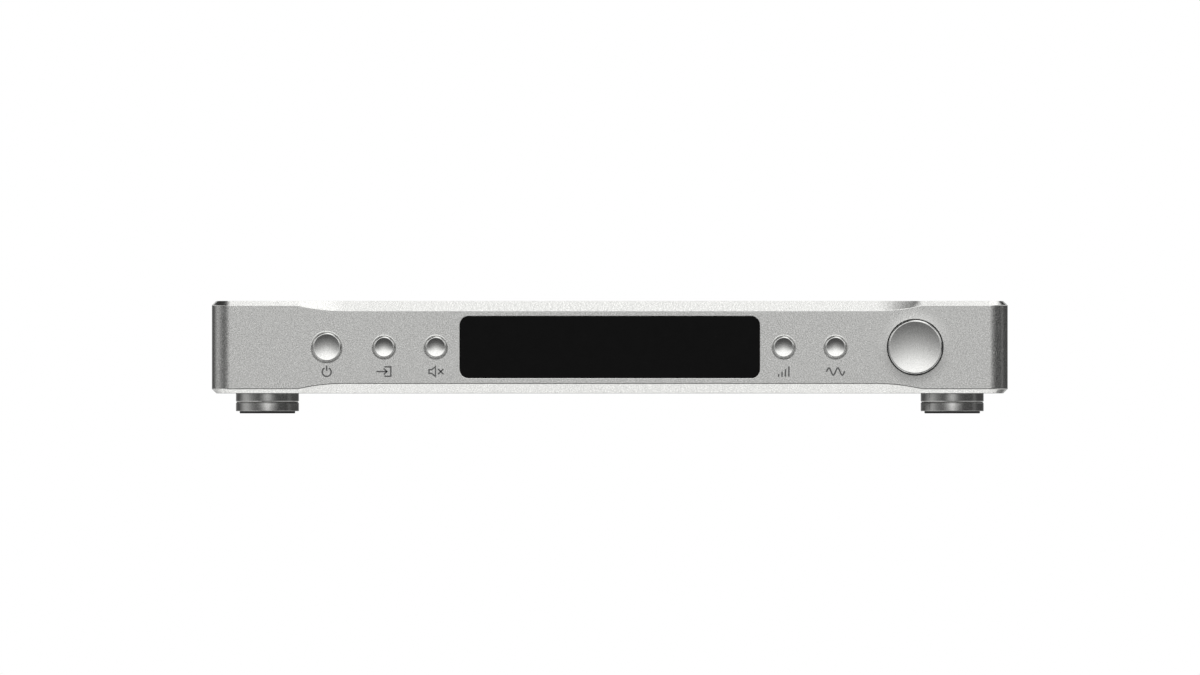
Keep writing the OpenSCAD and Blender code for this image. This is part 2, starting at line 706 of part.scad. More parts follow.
// Screw up through each foot and the bottom plate, and its nut.
module foot_screws() color("gainsboro") each_foot() {
    translate([0, 0, foot_seat_z]) rotate([90, 0, 0])
        cap_screw_y(m4, -m4[2], floor_z - foot_seat_z + foot_nut[1] + screw_end);
    translate([0, 0, floor_z]) difference() {
        cylinder(d = foot_nut[0] / cos(30), h = foot_nut[1], $fn = 6);
        translate([0, 0, -eps]) cylinder(d = m4[0], h = foot_nut[1] + 2 * eps);
    }
}

// Mains inlet and rocker switch

socket_z = 5;               // middle of the plug recess above the inlet's middle
socket_depth = 16.5;
socket_bevel = 5;
socket_size = [24.4, 17];
drawer_z = -9.7;
drawer_size = [24.6, 6.2];
drawer_depth = 16;
drawer_lip = [27, 7.6, 1.6];
drawer_back_gap = 1;
drawer_step = 0.2;                  // between the drawer's lip and the inlet's face
inlet_depth = 24;
inlet_flange_r = 4;
blade = [2, 4];
blade_sunk = 3;                     // from the inlet's face to the ends of its blades
blade_tail = 7;
inlet_tail = inlet_depth + blade_tail;  // how far the blades reach in behind the rear face
rocker_tail = 23;                   // and the switch's terminals
rocker_terminal = [3.5, 3];         // their places across and up from the switch's middle
rocker_depth = 16;

// Middles of the live, neutral and earth blades, from the inlet's middle
blade_places = [[-7, socket_z - 2], [7, socket_z - 2], [0, socket_z + 3]];

module at_inlet() translate([-inlet_x, body_d, mid_z]) children();

module mains_inlet() color("#1a1a1a") at_inlet() difference() {
    union() {
        upright_plate(inlet_flange[0], inlet_flange[1], inlet_flange_r, 0, inlet_flange[2]);
        block_y(inlet_body[0], inlet_body[1], -inlet_depth, 1);
    }
    translate([0, inlet_flange[2] + eps, socket_z]) rotate([90, 0, 0])
        linear_extrude(socket_depth + eps) polygon([
            [-socket_size[0] / 2, -socket_size[1] / 2], [socket_size[0] / 2, -socket_size[1] / 2],
            [socket_size[0] / 2, socket_size[1] / 2 - socket_bevel],
            [socket_size[0] / 2 - socket_bevel, socket_size[1] / 2],
            [-socket_size[0] / 2 + socket_bevel, socket_size[1] / 2],
            [-socket_size[0] / 2, socket_size[1] / 2 - socket_bevel]]);
    translate([0, 0, drawer_z]) block_y(drawer_size[0] + 2 * slide_play, drawer_size[1] + 2 * slide_play,
        inlet_flange[2] - drawer_depth - drawer_back_gap, inlet_flange[2] + eps);
    for (s = [-1, 1]) translate([s * inlet_screw_x, 0, 0])
        rod_y(m3[0] + hole_play, -eps, inlet_flange[2] + eps);
    for (p = blade_places) translate([p[0], 0, p[1]])
        block_y(blade[0], blade[1], -inlet_depth - eps, 0);
}

// The inlet's blades and the rocker switch's terminals.
module mains_terminals() color("gainsboro") {
    at_inlet() for (p = blade_places)
        translate([p[0], 0, p[1]])
            block_y(blade[0], blade[1], -inlet_tail, inlet_flange[2] - blade_sunk);
    at_rocker() for (sx = [-1, 1], sz = [-1, 1])
        translate([sx * rocker_terminal[0], 0, sz * rocker_terminal[1]])
            block_y(blade[0], blade[1], -rocker_tail, -rocker_depth);
}

fuse_d = 5.2;
fuse_l = 20;
fuse_y = -8.5;
fuse_play = 0.2;
fuse_floor = 0.6;
drawer_lip_r = 1.2;

module fuse_drawer() color("#242424") at_inlet() translate([0, 0, drawer_z]) difference() {
    union() {
        block_y(drawer_size[0], drawer_size[1], inlet_flange[2] - drawer_depth,
            inlet_flange[2] + drawer_step);
        upright_plate(drawer_lip[0], drawer_lip[1], drawer_lip_r, inlet_flange[2],
            inlet_flange[2] + drawer_lip[2]);
    }
    translate([0, fuse_y, fuse_floor])
        block_y(fuse_l + 2 * fuse_play, drawer_size[1], -(fuse_d + fuse_play) / 2,
            (fuse_d + fuse_play) / 2);
}

module mains_fuse() color("gainsboro")
    at_inlet() translate([-fuse_l / 2, fuse_y,
        drawer_z - drawer_size[1] / 2 + fuse_floor + slide_play / 2 + fuse_d / 2])
        rotate([0, 90, 0]) cylinder(d = fuse_d, h = fuse_l);

rocker_bezel = [15.4, 22, 2];
rocker_w = 9;
rocker_window = [9.4, 17];
rocker_cavity = 12;                 // depth of the frame's hollow behind the rear face
rocker_pin_seat = 1.1;              // how far each pin hole runs into the frame
rocker_pin_gap = 0.2;               // between a pin's end and the hole's floor
bezel_r = 1.5;
rocker_pivot = -1;
rocker_tilt = 10;
rocker_pin_d = 2.4;
rocker_waist = 3.4;                 // its face at the middle, out from the pivot
rocker_end = [5.2, 9];              // its raised end, out and up from the pivot
rocker_edge = -1;                   // back of its outer edge
rocker_heel = [-6, 3];              // corner of its back

module at_rocker() translate([-rocker_x, body_d, mid_z]) children();

module rocker_frame() color("#161616") at_rocker() difference() {
    union() {
        upright_plate(rocker_bezel[0], rocker_bezel[1], bezel_r, 0, rocker_bezel[2]);
        block_y(rocker_body[0], rocker_body[1], -rocker_depth, eps);
    }
    block_y(rocker_window[0], rocker_window[1], -rocker_cavity, rocker_bezel[2] + eps);
    translate([0, rocker_pivot, 0]) rotate([0, 90, 0])
        cylinder(d = rocker_pin_d + slide_play, h = rocker_window[0] + 2 * rocker_pin_seat,
            center = true);
}

// Rocker at its off position, pressed in at the bottom.
module rocker() color("#0e0e0e") at_rocker() translate([0, rocker_pivot, 0]) rotate([rocker_tilt, 0, 0]) {
    intersection() {
        translate([-rocker_w / 2, 0, 0]) rotate([90, 0, 90]) linear_extrude(rocker_w) polygon([
            [rocker_waist, 0], [rocker_end[0], rocker_end[1]], [rocker_edge, rocker_end[1]],
            [rocker_heel[0], rocker_heel[1]], [rocker_heel[0], -rocker_heel[1]],
            [rocker_edge, -rocker_end[1]], [rocker_end[0], -rocker_end[1]]]);
        rotate([0, 90, 0]) cylinder(d = rocker_window[1] - 2 * seat_play, h = rocker_w + 2 * eps,
            center = true);
    }
    rotate([0, 90, 0]) cylinder(d = rocker_pin_d,
        h = rocker_window[0] + 2 * (rocker_pin_seat - rocker_pin_gap), center = true);
}

// Circuit boards

lead_gap = 3;                   // from the transformer to the first mains lead
lead_pitch = 4;
lead_x0 = toroid_at[0] + toroid_d / 2 + lead_gap;
lead_xs = [lead_x0, lead_x0 + lead_pitch];      // leads beside the transformer
main_side_gap = 13;
main_lead_gap = 34;
main_rear_gap = 19;
main_board_l = 148;
power_side_gap = 9;
power_board_w = 104;
power_front_gap = 20;
power_toroid_gap = 17;
main_board_x = [lead_xs[1] + main_lead_gap, inner_x_half - main_side_gap];
main_board_y = [rear_in - main_rear_gap - main_board_l, rear_in - main_rear_gap];
power_board_x = [power_side_gap - inner_x_half, power_side_gap - inner_x_half + power_board_w];
power_board_y = [panel_board_y + power_front_gap, toroid_at[1] - toroid_d / 2 - power_toroid_gap];
ribbon_w = 30;
plug_drop = 8;                  // plugs on the flat boards below the middle of the case
plug_d = 6;
plug_in = 3;                    // from a board's front edge to its plugs
plug_cap = 4;                   // how far a plug reaches above its ribbon
solder = 0.2;                   // how far a fitted piece is sunk into its board
main_plug_y = main_board_y[0] + plug_in;
power_plug_y = power_board_y[0] + plug_in;
left_plug_x = (left_board[0] + left_board[1]) / 2;
right_plug_x = (right_board[0] + right_board[1]) / 2;

// Plug on a flat board, w wide, with its front face at y.
module board_plug(x, w, y)
    translate([x - w / 2, y, board_top - solder])
        cube([w, plug_d, mid_z - plug_drop + plug_cap - board_top]);

spacer_d = 5.5;
spacer_in = 6;

// Corner places of a board, a little in from its edges.
function board_corners(xs, ys, inset) =
    [for (x = [xs[0] + inset, xs[1] - inset], y = [ys[0] + inset, ys[1] - inset]) [x, y]];

module board_plate(xs, ys)
    translate([xs[0], ys[0], board_z]) cube([xs[1] - xs[0], ys[1] - ys[0], board_t]);

// Left edges of a row of n pieces, w wide, spread over the main board between two margins.
function spread(n, w, margins) = let (from = main_board_x[0] + margins[0],
    to = main_board_x[1] - margins[1] - w) [for (i = [0 : n - 1]) from + i * (to - from) / (n - 1)];

small_chip = [9, 7, 2.2];
small_chip_margins = [44, 29];
small_chip_y = 18;
large_chip = [14, 14, 1.7];
large_chip_margins = [60, 34];
large_chip_y = 62;

// Main board with its chips and its plugs.
module main_board() color("darkgreen") {
    board_plate(main_board_x, main_board_y);
    for (x = spread(6, small_chip[0], small_chip_margins))
        translate([x, main_board_y[0] + small_chip_y, board_top - solder])
            cube(small_chip + [0, 0, solder]);
    for (x = spread(4, large_chip[0], large_chip_margins))
        translate([x, main_board_y[0] + large_chip_y, board_top - solder])
            cube(large_chip + [0, 0, solder]);
    board_plug(0, ribbon_w, main_plug_y);
    board_plug(right_plug_x, control_plug[0], main_plug_y);
}

socket_board_y = body_d - connector_tail;
socket_board_end = 7;           // past the last phono sockets
socket_board_rise = 5;          // above the upper ones
socket_board_x = [xlr_x - xlr_pitch / 2, rca_x + 2 * rca_pitch + socket_board_end];

// Upright board that the tails of the balanced and phono sockets are soldered to.
module socket_board() color("darkgreen")
    translate([socket_board_x[0], socket_board_y - board_t, board_top])
        cube([socket_board_x[1] - socket_board_x[0], board_t,
            mid_z + rca_row_pitch / 2 + socket_board_rise - board_top]);

relay = [20, 10, 10.5];
relay_margins = [38, 18];
relay_ys = [26, 40];            // of the two rows, from the board's rear edge

module relays() color("#202428")
    for (x = spread(5, relay[0], relay_margins), y = relay_ys)
        translate([x, main_board_y[1] - y, board_top]) cube(relay);

film_cap = [18, 7, 13];
film_cap_margins = [52, 30];
film_cap_ys = [34, 46];         // of the two rows, from the board's front edge

module film_capacitors() color("firebrick")
    for (x = spread(5, film_cap[0], film_cap_margins), y = film_cap_ys)
        translate([x, main_board_y[0] + y, board_top]) cube(film_cap);

lead_plug = [10, 9, 2.5];       // its width, its length and its height above the leads

module power_board() color("darkgreen") {
    board_plate(power_board_x, power_board_y);
    board_plug(left_plug_x, control_plug[0], power_plug_y);
    translate([(lead_xs[0] + lead_xs[1] - lead_plug[0]) / 2, lead_plug_y - lead_plug[1],
        board_top - solder])
        cube([lead_plug[0], lead_plug[1], lead_z + lead_plug[2] - board_top]);
}

cap_gap = 4;                    // between the capacitors' sleeves
cap_pitch = cap_d + cap_gap;
cap_corner = [16, 40];          // first capacitor's place on the power board

module reservoir_capacitors() color("midnightblue")
    for (i = [0 : 2], j = [0, 1])
        translate([power_board_x[0] + cap_corner[0] + i * cap_pitch,
            power_board_y[0] + cap_corner[1] + j * cap_pitch, board_top])
            cylinder(d = cap_d, h = cap_h);

fin_count = 12;
fin_t = 1.2;
sink_w = 70;
sink_h = 25;
sink_base = 4;
fin_l = 12;
sink_corner = [10, 12];         // its place on the power board

module heat_sink() color("#303030")
    translate([power_board_x[0] + sink_corner[0], power_board_y[0] + sink_corner[1], board_top]) {
        cube([sink_w, sink_base, sink_h]);
        for (i = [0 : fin_count - 1])
            translate([i * (sink_w - fin_t) / (fin_count - 1), 0, 0])
                cube([fin_t, sink_base + fin_l, sink_h]);
    }

display_spacer_in = 8;          // from the pocket's end
display_spacer_z = 10;

// Every spacer: hexagonal posts under the flat boards and behind the upright ones.
module board_spacers() color("gainsboro") {
    for (p = concat(board_corners(main_board_x, main_board_y, spacer_in),
        board_corners(power_board_x, power_board_y, spacer_in)))
        translate([p[0], p[1], floor_z]) cylinder(d = spacer_d, h = board_lift, $fn = 6);
    translate([0, 0, mid_z]) {
        for (b = [left_board, right_board], x = [b[0] + panel_spacer_in, b[1] - panel_spacer_in],
            z = [-panel_spacer_z, panel_spacer_z])
            translate([x, 0, z]) hex_y(spacer_d, sheet_y, panel_board_y);
        for (sx = [-1, 1], sz = [-1, 1])
            translate([sx * (pocket_w / 2 - display_spacer_in), 0, sz * display_spacer_z])
                hex_y(spacer_d, display_board_y + board_t, front_t);
    }
}

// Ribbon cables and mains leads

ribbon_t = 1;
ribbon_bend = 12;
ribbon_flat = 3;                // level length of a ribbon at its lower plug

// Ribbon, w wide and centred at x, from y0 at mid height to a plug whose face is at y1.
module ribbon(x, w, y0, y1) {
    z1 = mid_z - plug_drop;
    bend = min(ribbon_bend, (y1 - y0) / 2 - ribbon_flat);
    y_low = y1 - ribbon_flat;
    y_high = y_low - bend;
    translate([x - w / 2, 0, 0]) rotate([90, 0, 90]) linear_extrude(w) polygon([
        [y0, mid_z], [y_high, mid_z], [y_low, z1], [y1, z1], [y1, z1 + ribbon_t],
        [y_low, z1 + ribbon_t], [y_high, mid_z + ribbon_t], [y0, mid_z + ribbon_t]]);
}

module ribbon_cables() color("lightgray") {
    ribbon(0, ribbon_w, display_plug_back, main_plug_y);
    ribbon(right_plug_x, control_plug[0], control_plug_back, main_plug_y);
    ribbon(left_plug_x, control_plug[0], control_plug_back, power_plug_y);
}

lead_d = 2;
lead_r = 2.5;
lead_turn = 5;                  // from the switch's terminals to the nearer lead's turn
lead_z = mid_z - rocker_terminal[1];
lead_plug_y = power_board_y[1] - plug_in;

function unit(v) = v / norm(v);

// Round lead at height z along a path of points joined by square turns, bent at radius lead_r.
module lead(path, z)
    for (i = [0 : len(path) - 2]) {
        way = unit(path[i + 1] - path[i]);
        from = path[i] + (i > 0 ? lead_r : 0) * way;
        to = path[i + 1] - (i < len(path) - 2 ? lead_r : 0) * way;
        translate([from.x, from.y, z]) rotate([0, 90, atan2(way.y, way.x)])
            cylinder(d = lead_d, h = norm(to - from));
        if (i > 0) {
            before = unit(path[i] - path[i - 1]);
            middle = path[i] + lead_r * (way - before);
            first = cross(before, way) > 0 ? -way : before;
            translate([middle.x, middle.y, z]) rotate([0, 0, atan2(first.y, first.x)])
                rotate_extrude(angle = 90) translate([lead_r, 0]) circle(d = lead_d);
        }
    }

// Live and neutral from the inlet to the switch, and on from there to the power board.
module mains_leads() color("saddlebrown") {
    tail_y = body_d - inlet_tail;
    switch_y = body_d - rocker_tail;
    for (i = [0, 1]) {
        inlet_end = -inlet_x + blade_places[i][0];
        switch_near = -rocker_x + (i == 0 ? 1 : -1) * rocker_terminal[0];
        turn_y = tail_y - lead_gap - lead_pitch * (1 - i);
        lead([[inlet_end, tail_y], [inlet_end, turn_y], [switch_near, turn_y], [switch_near, switch_y]],
            mid_z + rocker_terminal[1]);
        out_y = switch_y - lead_turn - lead_pitch * (1 - i);
        switch_out = -rocker_x + (i == 0 ? -1 : 1) * rocker_terminal[0];
        lead([[switch_out, switch_y], [switch_out, out_y], [lead_xs[i], out_y],
            [lead_xs[i], lead_plug_y]], lead_z);
    }
}

// Transformer

toroid_pad = 1.5;
toroid_round = 9;
toroid_z = floor_z + toroid_pad;
clamp_t = 2;
clamp_d = 62;
clamp_dish = 4;
clamp_cup = [9, 14];            // radius of the dish's floor and of its mouth
clamp_nut = [10, 5];
disc_inset = 7;                 // from the transformer's edge to the rubber disc

module transformer() color("#b08040") translate([toroid_at[0], toroid_at[1], toroid_z])
    rotate_extrude() translate([(toroid_d + toroid_hole) / 4, toroid_h / 2])
        polygon(rounded((toroid_d - toroid_hole) / 2, toroid_h, toroid_round, 6));

// Dished plate that presses on the transformer.
module transformer_clamp() color("dimgray") translate([toroid_at[0], toroid_at[1], 0])
    rotate_extrude() translate([0, toroid_z + toroid_h]) polygon([
        [(m6_flat[0] + hole_play) / 2, -clamp_dish], [clamp_cup[0], -clamp_dish],
        [clamp_cup[1], 0], [clamp_d / 2, 0], [clamp_d / 2, clamp_t],
        [clamp_cup[1] - clamp_t / 2, clamp_t], [clamp_cup[0] - clamp_t / 2, clamp_t - clamp_dish],
        [(m6_flat[0] + hole_play) / 2, clamp_t - clamp_dish]]);

clamp_seat_z = toroid_z + toroid_h - clamp_dish + clamp_t;

// Bolt through the transformer's middle with its nut, and the rubber disc under the transformer.
module transformer_bolt() color("gainsboro") translate([toroid_at[0], toroid_at[1], 0]) {
    translate([0, 0, base_z]) rotate([180, 0, 0])
        flat_screw(m6_flat, clamp_seat_z + clamp_nut[1] + screw_end - base_z);
    translate([0, 0, clamp_seat_z]) difference() {
        cylinder(d = clamp_nut[0] / cos(30), h = clamp_nut[1], $fn = 6);
        translate([0, 0, -eps]) cylinder(d = m6_flat[0], h = clamp_nut[1] + 2 * eps);
    }
    translate([0, 0, floor_z]) difference() {
        cylinder(d = toroid_d - 2 * disc_inset, h = toroid_pad);
        translate([0, 0, -eps]) cylinder(d = m6_flat[0] + hole_play, h = toroid_pad + 2 * eps);
    }
}

// Balanced sockets

xlr_depth = 20;
xlr_male_bore = 16.3;
xlr_female_bore = 19.2;
xlr_insert_d = 15.8;
xlr_pin_d = 2.4;
xlr_pin_r = 3.7;
xlr_pins = [for (a = [30, 150, 270]) [xlr_pin_r * cos(a), xlr_pin_r * sin(a)]];
latch = [6.6, 3.4, 8];
latch_z = 12.2;
latch_proud = 0.8;
latch_travel = 1.4;
latch_room = 0.3;               // behind the pressed latch
latch_block_depth = 10;
xlr_corner_r = 3;
xlr_male_floor = -13;           // floor of an output's recess
xlr_female_floor = -11;         // floor of the groove round an input's insert
xlr_insert_sunk = 1;            // from the flange's face to the insert's
xlr_pin_front = -1.5;           // ends of the pins of an output
xlr_sleeve_front = -9;          // and of the sleeves of an input

// Housing of a balanced socket: a flange and a barrel, bored right through.
module xlr_shell(bore) difference() {
    union() {
        upright_plate(xlr_flange[0], xlr_flange[1], xlr_corner_r, 0, xlr_flange[2]);
        rod_y(xlr_barrel_d, -xlr_depth, eps);
        if (bore == xlr_female_bore)
            translate([-latch_block[0] / 2, -latch_block_depth, 0])
                cube([latch_block[0], latch_block_depth + eps, latch_block[1]]);
    }
    for (s = [-1, 1]) translate([s * xlr_screw[0], 0, s * xlr_screw[1]])
        rod_y(m3[0] + hole_play, -eps, xlr_flange[2] + eps);
    rod_y(bore, -xlr_depth - eps, xlr_flange[2] + eps);
    if (bore == xlr_female_bore)
        translate([0, 0, latch_z]) block_y(latch[0] + seat_play, latch[1] + seat_play,
            xlr_flange[2] + latch_proud - latch[2] - latch_travel - latch_room, xlr_flange[2] + eps);
}

// Insert that fills the back of a bore and carries three contacts; an input's has a round nose.
module xlr_insert(bore, floor_y, play) difference() {
    union() {
        rod_y(bore - slide_play, -xlr_depth, floor_y);
        if (bore == xlr_female_bore)
            rod_y(xlr_insert_d, floor_y - eps, xlr_flange[2] - xlr_insert_sunk);
    }
    for (p = xlr_pins) translate([p[0], 0, p[1]])
        rod_y(xlr_pin_d + play, -xlr_depth - eps, xlr_flange[2] + eps);
}

// Two outputs with pins in a deep recess, then two inputs with a round insert and a latch.
module xlr_sockets() color("#2a2a2c") translate([0, body_d, mid_z]) {
    for (x = xlr_out_xs) translate([x, 0, 0]) {
        xlr_shell(xlr_male_bore);
        xlr_insert(xlr_male_bore, xlr_male_floor, slide_play);
    }
    for (x = xlr_in_xs) translate([x, 0, 0]) {
        xlr_shell(xlr_female_bore);
        xlr_insert(xlr_female_bore, xlr_female_floor, seat_play);
    }
}

// Pins of the outputs, and the sprung sleeves and tags behind the inputs.
module xlr_contacts() color("gold") translate([0, body_d, mid_z]) {
    for (x = xlr_out_xs, p = xlr_pins) translate([x + p[0], 0, p[1]])
        rod_y(xlr_pin_d, -connector_tail, xlr_pin_front);
    for (x = xlr_in_xs, p = xlr_pins) translate([x + p[0], 0, p[1]])
        rod_y(xlr_pin_d, -connector_tail, xlr_sleeve_front);
}

module xlr_latch(i) color("gainsboro") translate([xlr_in_xs[i], body_d, mid_z + latch_z])
    block_y(latch[0], latch[1], xlr_flange[2] + latch_proud - latch[2], xlr_flange[2] + latch_proud);

// Phono and trigger sockets

rca_washer_d = 13;
rca_washer_t = 1.5;
rca_hex = 11;
rca_hex_t = 2;
rca_tail = 9;
rca_core_d = 6.3;
rca_core_sunk = 0.8;
rca_core_front = connector_proud - rca_core_sunk;
rca_tag_d = 2;
rca_nut_t = 2;
rca_pin_d = 4.2;

module each_rca() for (p = rca_places) translate([p[0], body_d, p[1]]) children();

// Plated shell with its hexagon, threaded tail and locking nut.
module rca_shells() color("gold") each_rca() {
    difference() {
        union() {
            hex_y(rca_hex, rca_washer_t, rca_washer_t + rca_hex_t);
            rod_y(rca_barrel_d, rca_washer_t + eps, connector_proud);
            rod_y(rca_tail_d, -rca_tail, rca_washer_t + eps);
        }
        rod_y(rca_core_d, -rca_tail - eps, connector_proud + eps);
    }
    difference() {
        hex_y(rca_hex, -rear_t - rca_washer_t - rca_nut_t, -rear_t - rca_washer_t);
        rod_y(rca_tail_d + screw_play, -rca_tail, 0);
    }
}

// Washers that keep a shell off the panel, and the white core inside it.
module rca_insulators() color("whitesmoke") each_rca() {
    difference() {
        union() {
            rod_y(rca_washer_d, 0, rca_washer_t);
            rod_y(rca_sleeve_d, -rear_t, eps);
        }
        rod_y(rca_tail_d + slide_play, -rear_t - eps, rca_washer_t + eps);
    }
    difference() {
        rod_y(rca_washer_d, -rear_t - rca_washer_t, -rear_t);
        rod_y(rca_tail_d + slide_play, -rear_t - rca_washer_t - eps, 0);
    }
    difference() {
        rod_y(rca_core_d - slide_play, -rca_tail, rca_core_front);
        rod_y(rca_pin_d + slide_play, -rca_tail - eps, rca_core_front + eps);
    }
}

module rca_contacts() color("goldenrod") each_rca() difference() {
    union() {
        rod_y(rca_pin_d, -rca_tail, rca_core_front);
        rod_y(rca_tag_d, -connector_tail, eps - rca_tail);
    }
    rod_y(rca_bore, rca_core_front - rca_depth, rca_core_front + eps);
}

trigger_body = [11, 12, 14];
trigger_nut = [8.4, 1.8];
trigger_nose = 2.6;
trigger_back_t = 2;

module trigger_sockets() color("#1c1c1c") translate([-trigger_x, body_d, mid_z])
    for (s = [-1, 1]) translate([s * trigger_pitch / 2, 0, 0]) {
        difference() {
            union() {
                block_y(trigger_body[0], trigger_body[1], -rear_t - trigger_body[2], -rear_t);
                rod_y(trigger_nose_d, -rear_t - eps, trigger_nose);
            }
            rod_y(trigger_bore, -rear_t - trigger_body[2] + trigger_back_t, trigger_nose + eps);
        }
        difference() {
            rod_y(trigger_nut[0], 0, trigger_nut[1]);
            rod_y(trigger_nose_d + screw_play, -eps, trigger_nut[1] + eps);
        }
    }

// Screws of the case, the front panel and the rear sockets

connector_screw = [3, 5.5, 1.8];
connector_screw_in = 3;         // how far it reaches in behind the rear panel

module screws() color("gray") {
    for (s = [-1, 1], y = edge_screw_ys) translate([s * edge_screw_x, y, 0]) {
        translate([0, 0, top_z]) flat_screw(m3, edge_screw_length);
        translate([0, 0, base_z]) rotate([180, 0, 0]) flat_screw(m3, edge_screw_length);
    }
    translate([0, 0, mid_z]) {
        for (p = panel_screws) translate([p[0], 0, p[1]])
            cap_screw_y(m4, sheet_y + m4[2], front_t - panel_screw_depth + screw_end);
        for (x = concat(xlr_out_xs, xlr_in_xs), s = [-1, 1])
            translate([x + s * xlr_screw[0], 0, s * xlr_screw[1]])
                cap_screw_y(connector_screw, body_d + xlr_flange[2] + connector_screw[2],
                    rear_in - connector_screw_in);
        for (s = [-1, 1]) translate([-inlet_x + s * inlet_screw_x, 0, 0])
            cap_screw_y(connector_screw, body_d + inlet_flange[2] + connector_screw[2],
                rear_in - connector_screw_in);
    }
}

placed() front_panel();
placed() side_panel(-1);  // side_panel_left
placed() side_panel(1);  // side_panel_right
placed() top_cover();
placed() bottom_plate();
placed() rear_panel();
placed() front_sheet();
placed() corner_brackets();
placed() display_window();
placed() display_panel();
placed() display_board();
placed() button(0);  // power_button
placed() button(1);  // input_button
placed() button(2);  // mute_button
placed() button(3);  // gain_button
placed() button(4);  // voicing_button
placed() plunger(0);  // power_plunger
placed() plunger(1);  // input_plunger
placed() plunger(2);  // mute_plunger
placed() plunger(3);  // gain_plunger
placed() plunger(4);  // voicing_plunger
placed() button_guides();
placed() push_switches();
placed() control_boards();
placed() volume_knob();
placed() knob_grub_screw();
placed() encoder_shaft();
placed() encoder();
placed() encoder_nut();
placed() feet();
placed() foot_pads();
placed() foot_screws();
placed() main_board();
placed() socket_board();
placed() relays();
placed() film_capacitors();
placed() power_board();
placed() reservoir_capacitors();
placed() heat_sink();
placed() board_spacers();
placed() ribbon_cables();
placed() mains_leads();
placed() transformer();
placed() transformer_clamp();
placed() transformer_bolt();
placed() mains_inlet();
placed() mains_terminals();
placed() fuse_drawer();
placed() mains_fuse();
placed() rocker_frame();
placed() rocker();
placed() xlr_sockets();
placed() xlr_contacts();
placed() xlr_latch(0);  // latch_left
placed() xlr_latch(1);  // latch_right
placed() rca_shells();
placed() rca_insulators();
placed() rca_contacts();
placed() trigger_sockets();
placed() screws();
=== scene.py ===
"""Preamplifier: the finish and fine detail of every piece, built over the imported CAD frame."""

import json
import logging
import math
from collections.abc import Sequence
from dataclasses import dataclass
from enum import Enum
from typing import Any

import bmesh
import bpy
from mathutils import Euler, Matrix, Vector
from mathutils.bvhtree import BVHTree

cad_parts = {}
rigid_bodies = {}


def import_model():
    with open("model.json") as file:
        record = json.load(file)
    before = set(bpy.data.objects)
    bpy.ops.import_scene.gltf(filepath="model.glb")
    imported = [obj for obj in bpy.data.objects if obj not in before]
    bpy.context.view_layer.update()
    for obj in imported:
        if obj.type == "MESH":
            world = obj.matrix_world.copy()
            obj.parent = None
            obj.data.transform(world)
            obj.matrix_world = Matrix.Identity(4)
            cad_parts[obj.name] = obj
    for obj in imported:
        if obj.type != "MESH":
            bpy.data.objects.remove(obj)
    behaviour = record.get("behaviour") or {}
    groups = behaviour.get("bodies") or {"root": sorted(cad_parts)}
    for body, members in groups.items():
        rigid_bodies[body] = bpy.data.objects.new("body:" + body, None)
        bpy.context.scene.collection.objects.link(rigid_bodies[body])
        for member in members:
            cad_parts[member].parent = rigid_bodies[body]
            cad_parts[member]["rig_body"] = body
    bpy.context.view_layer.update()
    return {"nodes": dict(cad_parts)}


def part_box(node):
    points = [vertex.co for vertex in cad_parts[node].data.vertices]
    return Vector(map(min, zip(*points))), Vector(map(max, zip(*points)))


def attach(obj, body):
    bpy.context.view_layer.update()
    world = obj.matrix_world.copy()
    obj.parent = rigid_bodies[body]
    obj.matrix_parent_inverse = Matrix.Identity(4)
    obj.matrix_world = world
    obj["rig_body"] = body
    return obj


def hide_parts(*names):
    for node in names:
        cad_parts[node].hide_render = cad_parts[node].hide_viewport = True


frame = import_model()
LOG = logging.getLogger("preamplifier")
MM = 0.001
Point = tuple[float, float]
Place = tuple[float, float, float]
# The front panel's face and the middle of its height in the frame, in millimetres.
FRONT_Y_MM = -150.75
MID_Z_MM = 35.8
# Edges that turn by more than this many degrees stay sharp.
SMOOTH_DEG = 35.0
# Corners of a CAD mesh closer than this are one, and faces that turn by less lie in one plane.
MERGE_MM = 0.002
FLAT_DEG = 0.4
# A socket screw looks the same after a sixth of a turn; the seed makes each run alike.
SPIN = math.pi / 3
SEED = 7


class Axis(Enum):
    """The way a turned or fitted piece points: the turn that takes +Z to it."""

    UP = (0.0, 0.0, 0.0)
    DOWN = (math.pi, 0.0, 0.0)
    FRONT = (math.pi / 2, 0.0, 0.0)
    REAR = (-math.pi / 2, 0.0, 0.0)

    def matrix(self) -> Matrix:
        """The turn as a 4 by 4 matrix."""
        return Euler(self.value).to_matrix().to_4x4()


class Grain(Enum):
    """The marks that making a surface leaves on it."""

    BLASTED = "small round pits from glass beads"
    DRAWN = "long streaks from side to side"
    MOULDED = "a faint even texture from the mould"
    PAINTED = "soft orange peel"


# Streaks run 25 times slower along X; blasted pits are 1.3 times as fine as the grain and give
# 45% of its height.
STREAK = 0.04
PIT_FINENESS = 1.3
PIT_SHARE = 0.45
# The heights between which a mark turns from glossy to dull and from dark to light.
GLOSS_HEIGHTS = (0.3, 0.7)
TONE_HEIGHTS = (0.25, 0.75)
LEAST_ROUGHNESS = 0.02


def linear(colour: str) -> tuple[float, float, float, float]:
    """Turn an sRGB hex colour into the linear values that shaders work in.

    Args:
        colour: A colour such as "#c4c4c2".

    Returns:
        Red, green, blue and a full alpha.
    """
    parts = [int(colour[i : i + 2], 16) / 255 for i in (1, 3, 5)]
    return (*(c / 12.92 if c <= 0.04045 else ((c + 0.055) / 1.055) ** 2.4 for c in parts), 1.0)


